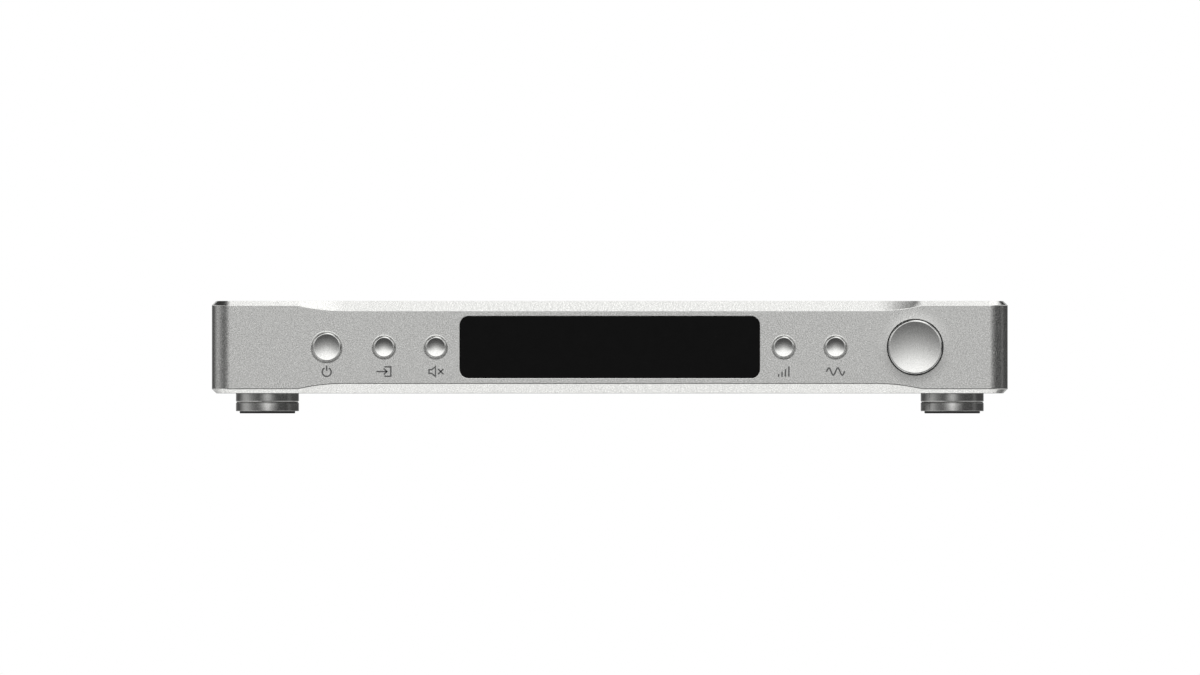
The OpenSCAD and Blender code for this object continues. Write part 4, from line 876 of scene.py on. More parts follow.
@dataclass
class Studio:
    """The plain studio: a straight front view, soft surroundings, a lamp above, a pale floor."""

    picture_px: tuple[int, int] = (1200, 675)
    mm_per_px: float = 0.54034
    view_x_mm: float = -5.3
    view_z_mm: float = 41.0
    distance: float = 2.0
    view_end: float = 50.0
    gloss_level: float = 0.84
    plain_level: float = 0.85
    most_level: float = 2.5
    corner_level: float = 0.04
    foot_level: float = 0.24
    below_level: float = 0.12
    lamp_size: Point = (1.6, 1.2)
    lamp_watts: float = 7.0
    lamp_place: Place = (0.35, -0.25, 1.5)
    lamp_aim: Place = (0.0, 0.0, 0.03)
    floor_half: float = 30.0
    floor_colour: str = "#f4f4f4"
    floor_fade: Point = (0.35, 1.1)

    def camera(self) -> None:
        """Make the camera: no perspective, level, straight at the front panel."""
        data = bpy.data.cameras.new("camera")
        data.type = "ORTHO"
        data.ortho_scale = self.picture_px[0] * self.mm_per_px * MM
        data.clip_end = self.view_end
        camera = bpy.data.objects.new("camera", data)
        camera.location = (self.view_x_mm * MM, -self.distance, self.view_z_mm * MM)
        camera.rotation_euler = (math.pi / 2, 0.0, 0.0)
        bpy.context.scene.collection.objects.link(camera)
        bpy.context.scene.camera = camera

    def reflections(self, tree: bpy.types.NodeTree) -> bpy.types.NodeSocket:
        """Build what the metal sees: a soft box in front, a brighter one above, dark flags between.

        Args:
            tree: The world's node tree.

        Returns:
            The brightness that a glossy ray meets.
        """
        def math_node(operation: str, *values: Any) -> bpy.types.NodeSocket:
            """One Math node's result."""
            return add_node(tree, "ShaderNodeMath", {"operation": operation},
                            dict(enumerate(values))).outputs[0]

        def smooth(value: bpy.types.NodeSocket, low: float, high: float) -> bpy.types.NodeSocket:
            """A smooth step from 0 at low to 1 at high."""
            return add_node(tree, "ShaderNodeMapRange", {"interpolation_type": "SMOOTHSTEP"},
                            {0: value, 1: low, 2: high}).outputs[0]

        def band(value: bpy.types.NodeSocket, out_low: float, in_low: float, in_high: float,
                 out_high: float) -> bpy.types.NodeSocket:
            """A smooth window: 1 between the inner bounds, 0 beyond the outer ones."""
            return math_node("MULTIPLY", smooth(value, out_low, in_low),
                             smooth(value, out_high, in_high))

        def curve(value: bpy.types.NodeSocket, stops: Sequence[Point]) -> bpy.types.NodeSocket:
            """Build a ramp through stops.

            Args:
                value: What the ramp reads.
                stops: Value and brightness of each stop; no brightness is over most_level.

            Returns:
                The brightness.
            """
            low, high = stops[0][0], stops[-1][0]
            part = add_node(tree, "ShaderNodeMapRange", None, {0: value, 1: low, 2: high})
            ramp = add_node(tree, "ShaderNodeValToRGB", None, {0: part.outputs[0]})
            set_ramp(ramp.color_ramp,
                     [((p - low) / (high - low), v / self.most_level) for p, v in stops])
            return math_node("MULTIPLY", ramp.outputs[0], self.most_level)

        def mix(factor: bpy.types.NodeSocket, a: Any, b: Any) -> bpy.types.NodeSocket:
            """A blend from a to b."""
            return add_node(tree, "ShaderNodeMix", None, {0: factor, 2: a, 3: b}).outputs[0]

        way = add_node(tree, "ShaderNodeTexCoord")
        split = add_node(tree, "ShaderNodeSeparateXYZ", None, {0: way.outputs["Generated"]})
        x, y, z = split.outputs
        forward = math_node("MULTIPLY", y, -1.0)
        degrees = 180 / math.pi
        bearing = math_node("ABSOLUTE", math_node("ARCTAN2", x, forward))
        turn = math_node("MULTIPLY", bearing, degrees)
        rise = math_node("MULTIPLY", math_node("ARCSINE", z), degrees)
        off = math_node("MULTIPLY", math_node("ARCCOSINE", forward), degrees)
        level = curve(rise, [(-30, 0.24), (-15, 0.24), (-10, 0.34), (-5, 0.6), (0, 1.0), (3, 1.35),
                             (5, 1.6), (8, 1.95), (10, 2.1), (13, 2.2), (30, 2.2)])
        across = curve(turn, [(0, 1.0), (5, 0.93), (11, 0.69), (17, 0.49), (24, 0.32), (30, 0.22),
                              (37, 0.18), (60, 0.18)])
        front = math_node("MULTIPLY", level, mix(smooth(rise, 4.0, 16.0), across, 1.0))
        around = curve(rise, [(-90, 1.85), (-60, 1.6), (-35, 0.95), (-10, 0.9), (10, 1.05),
                              (30, 1.15), (38, 0.7), (60, 0.7), (90, 1.9)])
        left = curve(turn, [(0, 0.12), (38, 0.18), (50, 0.26), (62, 0.4), (76, 0.62), (86, 0.68),
                            (95, 0.62), (107, 0.38), (122, 0.16), (140, 0.12), (180, 0.5)])
        right = curve(turn, [(0, 0.1), (78, 0.1), (86, 0.22), (94, 0.22), (102, 0.1), (150, 0.1),
                             (180, 0.5)])
        horizon = mix(smooth(x, -0.05, 0.05), left, right)
        outer = mix(smooth(math_node("ABSOLUTE", rise), 13.0, 7.0), around, horizon)
        over = curve(x, [(-0.5, 0.06), (-0.26, 0.06), (-0.15, 0.4), (-0.06, 1.6), (0, 2.0),
                         (0.1, 2.3), (0.44, 2.2), (0.54, 0.3)])
        outer = mix(smooth(z, 0.54, 0.66), outer, over)
        side = math_node("ABSOLUTE", x)
        corner = math_node("MULTIPLY", band(side, 0.3, 0.38, 0.52, 0.6),
                           band(z, 0.34, 0.4, 0.72, 0.78))
        outer = mix(corner, outer, self.corner_level)
        foot = math_node("MULTIPLY", band(x, 0.12, 0.46, 0.5, 0.66),
                         band(z, -0.96, -0.8, -0.54, -0.4))
        outer = mix(foot, outer, self.foot_level)
        lit = mix(smooth(off, 32.0, 43.0), front, outer)
        below = math_node("MULTIPLY", smooth(side, 0.32, 0.2), band(z, -0.985, -0.93, -0.3, -0.2))
        return mix(below, lit, self.below_level)

    def world(self) -> None:
        """Make the surroundings: white to the eye, plain for soft light, and shaped for metal."""
        world = bpy.data.worlds.new("studio")
        world.use_nodes = True
        tree = world.node_tree
        tree.nodes.clear()
        path = add_node(tree, "ShaderNodeLightPath")
        glossy = add_node(tree, "ShaderNodeMath", {"operation": "MAXIMUM"},
                          {0: path.outputs["Is Glossy Ray"],
                           1: path.outputs["Is Transmission Ray"]})
        shaped = add_node(tree, "ShaderNodeMath", {"operation": "MULTIPLY"},
                          {0: self.reflections(tree), 1: self.gloss_level})
        light = add_node(tree, "ShaderNodeMix", None,
                         {0: glossy.outputs[0], 2: self.plain_level, 3: shaped.outputs[0]})
        seen = add_node(tree, "ShaderNodeMix", None,
                        {0: path.outputs["Is Camera Ray"], 2: light.outputs[0], 3: 1.0})
        background = add_node(tree, "ShaderNodeBackground", None,
                              {"Color": (1.0, 1.0, 1.0, 1.0), "Strength": seen.outputs[0]})
        add_node(tree, "ShaderNodeOutputWorld", None, {"Surface": background.outputs[0]})
        bpy.context.scene.world = world

    def lamp(self) -> None:
        """Hang one large soft lamp above and to the right, for a soft shadow."""
        data = bpy.data.lights.new("overhead_lamp", "AREA")
        data.shape = "RECTANGLE"
        data.size, data.size_y = self.lamp_size
        data.energy = self.lamp_watts
        lamp = bpy.data.objects.new("overhead_lamp", data)
        lamp.location = self.lamp_place
        aim = Vector(self.lamp_aim) - lamp.location
        lamp.rotation_euler = aim.to_track_quat("-Z", "Y").to_euler()
        lamp.visible_camera = False
        lamp.visible_glossy = False
        bpy.context.scene.collection.objects.link(lamp)

    def floor(self) -> None:
        """Lay a pale floor that keeps the object's shadow and runs out into white."""
        form = bmesh.new()
        bmesh.ops.create_circle(form, cap_ends=True, segments=64, radius=self.floor_half)
        mesh = mesh_of(form, "floor")
        floor = bpy.data.objects.new("floor", mesh)
        bpy.context.scene.collection.objects.link(floor)
        made = bpy.data.materials.new("floor_pale")
        made.use_nodes = True
        tree = made.node_tree
        tree.nodes.clear()
        place = add_node(tree, "ShaderNodeTexCoord")
        far = add_node(tree, "ShaderNodeVectorMath", {"operation": "LENGTH"},
                       {0: place.outputs["Object"]})
        out = add_node(tree, "ShaderNodeMapRange", {"interpolation_type": "SMOOTHSTEP"},
                       {0: far.outputs["Value"], 1: self.floor_fade[0], 2: self.floor_fade[1]})
        paper = add_node(tree, "ShaderNodeBsdfDiffuse", None,
                         {"Color": linear(self.floor_colour)})
        white = add_node(tree, "ShaderNodeEmission", None, {"Strength": 1.0})
        mixed = add_node(tree, "ShaderNodeMixShader", None,
                         {0: out.outputs[0], 1: paper.outputs[0], 2: white.outputs[0]})
        add_node(tree, "ShaderNodeOutputMaterial", None, {"Surface": mixed.outputs[0]})
        mesh.materials.append(made)
        floor.visible_glossy = False

    def build(self) -> None:
        """Set up the whole studio."""
        scene = bpy.context.scene
        scene.view_settings.view_transform = "Standard"
        self.camera()
        self.world()
        self.lamp()
        self.floor()


@dataclass
class Case:
    """The milled case: plates whose edges are broken by a fine, even radius."""

    front_edge_mm: float = 0.3
    panel_edge_mm: float = 0.25
    sheet_edge_mm: float = 0.25
    rear_edge_mm: float = 0.1
    glass_edge_mm: float = 0.15

    def build(self) -> None:
        """Build and dress the plates, the window and the sheets behind them."""
        refined("front_panel", FRONT, self.front_edge_mm)
        for node in ("side_panel_left", "side_panel_right", "top_cover"):
            refined(node, CASE, self.panel_edge_mm)
        refined("bottom_plate", SHEET_BLACK, self.sheet_edge_mm)
        refined("rear_panel", SHEET_BLACK, self.rear_edge_mm)
        refined("display_window", WINDOW, self.glass_edge_mm)
        dress(SHEET_ZINC, "front_sheet")
        dress(STEEL, "corner_brackets")
        dress(WINDOW, "display_panel")


@dataclass
class Controls:
    """The five dished buttons and the volume knob."""

    power_dish_mm: float = 0.6
    small_dish_mm: float = 0.6
    knob_dish_mm: float = 0.8
    rim_mm: float = 0.85
    rim_round_mm: float = 0.7
    flange_mm: float = 1.6
    flange_y_mm: float = 6.1
    cap_back_mm: float = 7.6
    bore_mm: Point = (3.05, 8.04)
    grub_hole_mm: float = 3.0
    spigot_mm: Point = (1.55, 3.2)
    lip_mm: float = 0.12
    round_share: float = 0.8
    back_edge_mm: float = 0.4
    skirt_mm: float = 2.3
    hollow_mm: float = 3.0
    hollow_edge_mm: float = 1.0
    hub_mm: float = 6.5
    drill_mm: Point = (1.0, 20.0)
    small_nodes: tuple[str, ...] = ("input_button", "mute_button", "gain_button", "voicing_button")

    def front_profile(self, radius: float, proud: float, dish: float) -> list[Point]:
        """Profile of a dished face and its rounded rim, from the middle outwards.

        Args:
            radius: Radius of the cap.
            proud: Height of the rim above the front panel.
            dish: Depth of the dish.

        Returns:
            Radius and height of each corner.
        """
        mouth = radius - self.rim_mm
        ball = (mouth * mouth + dish * dish) / (2 * dish)
        steps, turns = 24, 8
        face = [(mouth * i / steps,
                 proud - dish + ball - math.sqrt(ball * ball - (mouth * i / steps) ** 2))
                for i in range(steps)]
        rim = rounded_corner(face[-1], (mouth, proud), (radius, proud), self.lip_mm, 3)
        depth = min(self.rim_round_mm, self.round_share * proud)
        turn = [(radius - self.rim_round_mm * (1 - math.sin(a)), proud - depth * (1 - math.cos(a)))
                for a in (math.pi / 2 * i / turns for i in range(turns + 1))]
        return face + rim + turn

    def seat(self, node: str) -> tuple[float, float, Vector]:
        """Find where a control sits.

        Args:
            node: The control's CAD node.

        Returns:
            Its outer radius and its height above the front panel in millimetres, and the middle
            of its place on the panel's face in metres.
        """
        low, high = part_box(node)
        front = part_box("front_panel")[0].y
        centre = Vector(((low.x + high.x) / 2, front, (low.z + high.z) / 2))
        return (high.x - low.x) / 2 / MM, (front - low.y) / MM, centre

    def button(self, node: str, dish: float) -> None:
        """Build one button.

        Args:
            node: The CAD node that it replaces.
            dish: Depth of its dish in millimetres.
        """
        reach, proud, centre = self.seat(node)
        radius = reach - self.flange_mm
        hole, deep = self.spigot_mm
        profile = self.front_profile(radius, proud, dish) + [
            (radius, -self.flange_y_mm), (radius + self.flange_mm, -self.flange_y_mm),
            (radius + self.flange_mm, -self.cap_back_mm), (hole, -self.cap_back_mm),
            (hole, deep - self.cap_back_mm), (0.0, deep - self.cap_back_mm)]
        mesh = lathe(f"{node}_cap", profile, [centre], Axis.FRONT)
        new_piece(f"{node}_cap", mesh, CONTROL, body_of(node), [node])

    def knob(self) -> None:
        """Build the volume knob with its hollow back and the hole for its grub screw."""
        radius, proud, centre = self.seat("volume_knob")
        back = (centre.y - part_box("volume_knob")[1].y) / MM
        edge, inner, floor = self.back_edge_mm, radius - self.skirt_mm, self.hollow_mm
        bore, end = self.bore_mm
        profile = self.front_profile(radius, proud, self.knob_dish_mm) + [
            (radius, back + edge), (radius - edge, back), (inner, back),
            (inner, floor - self.hollow_edge_mm), (inner - self.hollow_edge_mm, floor),
            (self.hub_mm, floor), (self.hub_mm, back), (bore, back), (bore, end), (0.0, end)]
        draft = linked("volume_knob", lathe("volume_knob", profile, [centre], Axis.FRONT,
                                            segments=160))
        low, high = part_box("knob_grub_screw")
        place = Vector((centre.x, (low.y + high.y) / 2, centre.z))
        r, (start, stop) = self.grub_hole_mm / 2, self.drill_mm
        rod = [(0.0, start), (r, start), (r, stop), (0.0, stop)]
        drill = linked("drill", lathe("drill", rod, [place], Axis.DOWN, segments=32))
        hole = draft.modifiers.new("grub_hole", "BOOLEAN")
        hole.object = drill
        hole.solver = "EXACT"
        mesh = finished_mesh(draft, "volume_knob_body")
        bpy.data.objects.remove(drill)
        new_piece("volume_knob_body", mesh, CONTROL, body_of("volume_knob"), ["volume_knob"])

    def build(self) -> None:
        """Build and dress the controls and what carries them."""
        self.button("power_button", self.power_dish_mm)
        for node in self.small_nodes:
            self.button(node, self.small_dish_mm)
        self.knob()
        refined("knob_grub_screw", SCREW)
        for node in ("encoder_shaft", "encoder"):
            refined(node, STEEL, name=f"{node}_body")
        refined("encoder_nut", GOLD)
        dress(PLASTIC, "power_plunger", "input_plunger", "mute_plunger", "gain_plunger",
              "voicing_plunger", "button_guides", "push_switches")
        dress(BOARD, "control_boards", "display_board")


@dataclass
class Feet:
    """Four turned feet in two tiers, each on a rubber pad."""

    radius_mm: float = 17.0
    height_mm: float = 9.6
    pad_mm: float = 15.0
    pad_proud_mm: float = 1.2
    recess_mm: float = 2.0
    groove_below_mm: float = 4.7
    groove_mm: float = 0.5
    groove_floor_mm: float = 0.06
    groove_edge_mm: float = 0.12
    groove_turn_mm: Point = (0.05, 0.15)
    edge_mm: float = 0.25
    top_edge_mm: float = 0.1
    bore_mm: float = 2.2
    head_mm: float = 4.0
    head_deep_mm: float = 4.5
    pad_play_mm: float = 0.1
    pad_edge_mm: Point = (0.4, 0.5)

    def places(self) -> list[Vector]:
        """Find the middle of each foot on the ground.

        Returns:
            The four places.
        """
        low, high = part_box("feet")
        r = self.radius_mm * MM
        return [Vector((x, y, 0.0)) for x in (low.x + r, high.x - r)
                for y in (low.y + r, high.y - r)]

    def build(self) -> None:
        """Build and dress the feet, their pads and their screws."""
        r, top = self.radius_mm, self.pad_proud_mm + self.height_mm
        base, mid = self.pad_proud_mm, top - self.groove_below_mm
        g, flat, edge = self.groove_mm, self.groove_floor_mm, self.groove_edge_mm
        near, far = self.groove_turn_mm
        lower = rounded_corner((0.0, base), (r, base), (r, mid), self.edge_mm, 4)
        groove = [(r, mid - g - far), (r - edge, mid - g + near), (r - g, mid - flat),
                  (r - g, mid + flat), (r - edge, mid + g - near), (r, mid + g + far)]
        bore, head, seat = self.bore_mm, self.head_mm, self.pad_mm + self.pad_play_mm
        recess, rim = base + self.recess_mm, self.top_edge_mm
        sunk = recess + self.head_deep_mm
        profile = [(bore, sunk), (head, sunk), (head, recess), (seat, recess), (seat, base),
                   *lower, *groove, (r, top - rim), (r - rim, top), (bore, top)]
        mesh = lathe("turned_feet", profile, self.places(), Axis.UP, closed=True, segments=96)
        new_piece("turned_feet", mesh, FOOT, "chassis", ["feet"])
        inner, outer = self.pad_edge_mm
        pad = self.pad_mm
        profile = [(head, recess), (head, inner), (head + inner, 0.0),
                   *rounded_corner((head, 0.0), (pad, 0.0), (pad, recess), outer, 4),
                   (pad, recess)]
        mesh = lathe("rubber_pads", profile, self.places(), Axis.UP, closed=True, segments=64)
        new_piece("rubber_pads", mesh, RUBBER, "chassis", ["foot_pads"])
        refined("foot_screws", SCREW)


@dataclass
class RearSockets:
    """Mains inlet, rocker switch, balanced, phono and trigger sockets."""

    edge_mm: float = 0.25
    rocker_edge_mm: float = 0.4
    trigger_edge_mm: float = 0.15
    stamped_edge_mm: float = 0.3
    phono_edge_mm: float = 0.12

    def build(self) -> None:
        """Build and dress the sockets."""
        for node in ("mains_inlet", "rocker_frame", "fuse_drawer"):
            refined(node, PLASTIC, self.edge_mm)
        refined("rocker", ROCKER, self.rocker_edge_mm)
        refined("trigger_sockets", PLASTIC, self.trigger_edge_mm)
        refined("xlr_sockets", SOCKET, self.edge_mm)
        refined("xlr_contacts", GOLD)
        for node in ("latch_left", "latch_right"):
            refined(node, STEEL, self.stamped_edge_mm)
        refined("rca_shells", GOLD, self.phono_edge_mm)
        refined("rca_insulators", INSULATOR, self.phono_edge_mm)
        refined("rca_contacts", GOLD)
        refined("mains_terminals", STEEL, self.stamped_edge_mm)
        refined("mains_fuse", FUSE)


@dataclass(frozen=True)
class SocketScrew:
    """A socket screw's sizes in millimetres.

    head is its diameter and height, shank its diameter and whole length below the head's face,
    hexagon its width across corners and depth, and sunk says that the head is countersunk.
    """

    head: Point
    shank: Point
    hexagon: Point
    sunk: bool = False


SUNK_M3 = SocketScrew((5.6, 1.7), (2.9, 9.0), (2.1, 1.2), sunk=True)
CAP_M3 = SocketScrew((5.5, 1.8), (2.9, 9.0), (2.1, 1.1))
CAP_M4 = SocketScrew((7.0, 4.0), (3.9, 12.4), (2.8, 2.4))


@dataclass
class Fasteners:
    """Socket screws: countersunk ones along the case, cap screws at the sockets and inside."""

    edge_x_mm: float = 206.5
    edge_ys_mm: tuple[float, ...] = (30.0, 115.333, 200.667, 286.0)
    top_z_mm: float = 60.8
    base_z_mm: float = 10.8
    balanced_xs_mm: tuple[float, ...] = (-52.0, -19.0, 14.0, 47.0)
    balanced_step_mm: Point = (9.5, 12.0)
    inlet_xs_mm: Point = (-186.0, -146.0)
    panel_xs_mm: tuple[float, ...] = (-198.0, -108.0, 108.0, 198.0)
    panel_z_mm: float = 14.0
    rear_mm: float = 303.8
    inlet_plate_mm: float = 0.5
    bracket_mm: float = 21.5
    edge_mm: float = 0.12
    mouth_mm: float = 0.1
    tip_mm: float = 0.3
    cone_mm: float = 0.15
    cone_share: float = 0.6

    def screw(self, name: str, size: SocketScrew) -> bpy.types.Mesh:
        """Build one socket screw with its head's face at the origin, pointing up.

        Args:
            name: The mesh's name.
            size: The screw.

        Returns:
            The mesh.
        """
        steps, edge, tip = 24, self.edge_mm, self.tip_mm
        r, h = size.head[0] / 2, size.head[1]
        s, end = size.shank[0] / 2, -size.shank[1]
        key, floor = size.hexagon[0] / 2, -size.hexagon[1]
        side = [(r - edge, 0.0), (r, -edge)] + ([(s, -h)] if size.sunk else [(r, -h), (s, -h)])
        rings = [(key * self.cone_share, floor - self.cone_mm, True), (key, floor, True),
                 (key, -self.mouth_mm, True), (key + edge, 0.0, True)]
        rings += [(a, b, False) for a, b in side]
        rings += [(s, end + tip, False), (s - tip, end, False)]
        form = bmesh.new()
        loops = []
        for radius, z, six in rings:
            loop = []
            for i in range(steps):
                angle = 2 * math.pi * i / steps
                part = (angle % (math.pi / 3)) - math.pi / 6
                reach = radius * math.cos(math.pi / 6) / math.cos(part) if six else radius
                loop.append(form.verts.new((reach * MM * math.cos(angle),
                                            reach * MM * math.sin(angle), z * MM)))
            loops.append(loop)
        for a, b in zip(loops, loops[1:]):
            for i in range(steps):
                j = (i + 1) % steps
                form.faces.new((a[i], a[j], b[j], b[i]))
        form.faces.new(loops[0])
        form.faces.new(loops[-1])
        bmesh.ops.recalc_face_normals(form, faces=form.faces)
        return mesh_of(form, name)

    def build(self) -> None:
        """Set every screw."""
        ys = [y + FRONT_Y_MM for y in self.edge_ys_mm]
        edge = [(s * self.edge_x_mm, y) for s in (-1, 1) for y in ys]
        for name, z, aim in (("cover_screws", self.top_z_mm, Axis.UP),
                             ("base_screws", self.base_z_mm, Axis.DOWN)):
            set_pieces(name, self.screw(name, SUNK_M3), [(x, y, z) for x, y in edge], aim, SCREW,
                       ["screws"])
        dx, dz = self.balanced_step_mm
        rear = FRONT_Y_MM + self.rear_mm
        places = [(x + s * dx, rear, MID_Z_MM + s * dz) for x in self.balanced_xs_mm
                  for s in (-1, 1)]
        places += [(x, rear + self.inlet_plate_mm, MID_Z_MM) for x in self.inlet_xs_mm]
        set_pieces("socket_screws", self.screw("socket_screws", CAP_M3), places, Axis.REAR, SCREW,
                   ["screws"])
        places = [(x, FRONT_Y_MM + self.bracket_mm, MID_Z_MM + s * self.panel_z_mm)
                  for x in self.panel_xs_mm for s in (-1, 1)]
        set_pieces("panel_screws", self.screw("panel_screws", CAP_M4), places, Axis.REAR, SCREW,
                   ["screws"])


class Sign(Enum):
    """What a printed sign under a button shows."""

    POWER = "a ring with a bar"
    SOURCE = "an arrow into a frame"
    MUTE = "a loudspeaker with a cross"
    LEVEL = "rising bars"
    TONE = "a wave"


@dataclass
class Printing:
    """Plain signs in grey ink under the buttons, and the marks on the rocker switch."""

    ink_mm: float = 0.02
    line_mm: float = 0.7
    sign_scale: float = 1.15
    sign_z_mm: float = 22.6
    bar_mm: float = 3.2
    ring_mm: float = 1.7
    ring_up_mm: float = 1.4
    lift_mm: float = 0.005
    signs: tuple[tuple[str, Sign], ...] = (
        ("power_button", Sign.POWER), ("input_button", Sign.SOURCE), ("mute_button", Sign.MUTE),
        ("gain_button", Sign.LEVEL), ("voicing_button", Sign.TONE))

    def stroke(self, form: bmesh.types.BMesh, points: Sequence[Point],
               closed: bool = False) -> None:
        """Add one flat line of ink.

        Args:
            form: The mesh that gets the line.
            points: Its corners in millimetres, in the panel's plane.
            closed: True for a closed line.
        """
        half = self.line_mm / 2
        path = [Vector(p) for p in points]
        count = len(path)
        left, right = [], []
        for i, here in enumerate(path):
            before = path[i - 1] if i or closed else None
            after = path[(i + 1) % count] if i < count - 1 or closed else None
            ways = [w for w in ((here - before).normalized() if before is not None else None,
                                (after - here).normalized() if after is not None else None) if w]
            mean = sum(ways[1:], ways[0].copy()).normalized()
            normal = Vector((-mean.y, mean.x))
            reach = half / max(mean.dot(ways[0]), 0.5)
            ends = 0 if closed or 0 < i < count - 1 else (-half * 0.6 if i == 0 else half * 0.6)
            left.append(here + mean * ends + normal * reach)
            right.append(here + mean * ends - normal * reach)
        a = [form.verts.new((p.x, 0.0, p.y)) for p in left]
        b = [form.verts.new((p.x, 0.0, p.y)) for p in right]
        for i in range(count if closed else count - 1):
            j = (i + 1) % count
            form.faces.new((a[i], b[i], b[j], a[j]))

    def arc(self, x: float, z: float, radius: float, start: float, end: float,
            steps: int = 24) -> list[Point]:
        """Points of an arc.

        Args:
            x: Its centre's place across.
            z: Its centre's height.
            radius: Its radius.
            start: The angle of its first point, in degrees from the right.
            end: The angle of its last point.
            steps: Number of straight steps in it.

        Returns:
            The points.
        """
        return [(x + radius * math.cos(math.radians(start + (end - start) * i / steps)),
                 z + radius * math.sin(math.radians(start + (end - start) * i / steps)))
                for i in range(steps + 1)]

    def draw(self, form: bmesh.types.BMesh, sign: Sign) -> None:
        """Draw one sign round the origin, about 5 mm high.

        Args:
            form: The mesh that gets it.
            sign: The sign.
        """
        if sign is Sign.POWER:
            self.stroke(form, self.arc(0, -0.2, 2.1, 125, 415))
            self.stroke(form, [(0, 0.5), (0, 2.5)])
        elif sign is Sign.SOURCE:
            self.stroke(form, [(0.4, 2.2), (3.2, 2.2), (3.2, -2.2), (0.4, -2.2)])
            self.stroke(form, [(-3.4, 0), (1.3, 0)])
            self.stroke(form, [(0.0, 1.3), (1.4, 0), (0.0, -1.3)])
        elif sign is Sign.MUTE:
            self.stroke(form, [(-3.2, 0.9), (-1.9, 0.9), (-0.2, 2.3), (-0.2, -2.3), (-1.9, -0.9),
                               (-3.2, -0.9)], True)
            self.stroke(form, [(1.2, 1.1), (3.4, -1.1)])
            self.stroke(form, [(1.2, -1.1), (3.4, 1.1)])
        elif sign is Sign.LEVEL:
            for i, height in enumerate((1.0, 2.1, 3.3, 4.6)):
                self.stroke(form, [(i * 1.6 - 2.4, -2.2), (i * 1.6 - 2.4, height - 2.4)])
        else:
            self.stroke(form, [(-4.2 + 8.4 * i / 48, 1.7 * math.sin(4 * math.pi * i / 48))
                               for i in range(49)])

    def finish_ink(self, form: bmesh.types.BMesh, name: str, ink: Finish, body: str,
                   facing: int) -> None:
        """Give the flat ink its thickness and make it a piece.

        Args:
            form: The flat ink.
            name: The piece's name.
            ink: Its colour.
            body: The body that carries it.
            facing: -1 for ink that faces the front, 1 for the rear.
        """
        bmesh.ops.recalc_face_normals(form, faces=form.faces)
        for face in form.faces:
            if face.normal.y * facing < 0:
                face.normal_flip()
        draft = linked(name, mesh_of(form, name))
        thick = draft.modifiers.new("ink", "SOLIDIFY")
        thick.thickness = self.ink_mm * MM
        thick.offset = 1.0
        mesh = finished_mesh(draft, name)
        new_piece(name, mesh, ink, body)

    def front_signs(self) -> None:
        """Print the five signs under the buttons."""
        form = bmesh.new()
        for node, sign in self.signs:
            low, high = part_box(node)
            start = len(form.verts)
            self.draw(form, sign)
            form.verts.ensure_lookup_table()
            for vert in form.verts[start:]:
                place = Vector(((low.x + high.x) / 2, FRONT_Y_MM * MM, self.sign_z_mm * MM))
                vert.co = place + vert.co * MM * self.sign_scale
        self.finish_ink(form, "button_signs", INK, "chassis", -1)

    def rocker_marks(self) -> None:
        """Print a bar on the rocker's upper half and a ring on its lower half, along its face."""
        low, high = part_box("rocker")
        middle = (low + high) / 2
        quarter = (high.z - low.z) / 4 / MM
        form = bmesh.new()
        steps, turns = 8, 48
        self.stroke(form, [(0, quarter - self.bar_mm / 2 + self.bar_mm / steps * i)
                           for i in range(steps + 1)])
        last = 360 - 360 / turns
        ring = self.arc(0, self.ring_up_mm - quarter, self.ring_mm, 0, last, turns - 1)
        self.stroke(form, ring, True)
        source = frame["nodes"]["rocker"].data
        face = BVHTree.FromPolygons([v.co for v in source.vertices],
                                    [p.vertices for p in source.polygons])
        for vert in form.verts:
            spot = Vector((middle.x, 0.0, middle.z)) + vert.co * MM
            spot.y = high.y + 10 * MM
            hit, normal, _, _ = face.ray_cast(spot, Vector((0.0, -1.0, 0.0)))
            vert.co = hit + normal * self.lift_mm * MM
        self.finish_ink(form, "rocker_marks", INK_WHITE, body_of("rocker"), 1)

    def build(self) -> None:
        """Print everything."""
        self.front_signs()
        self.rocker_marks()


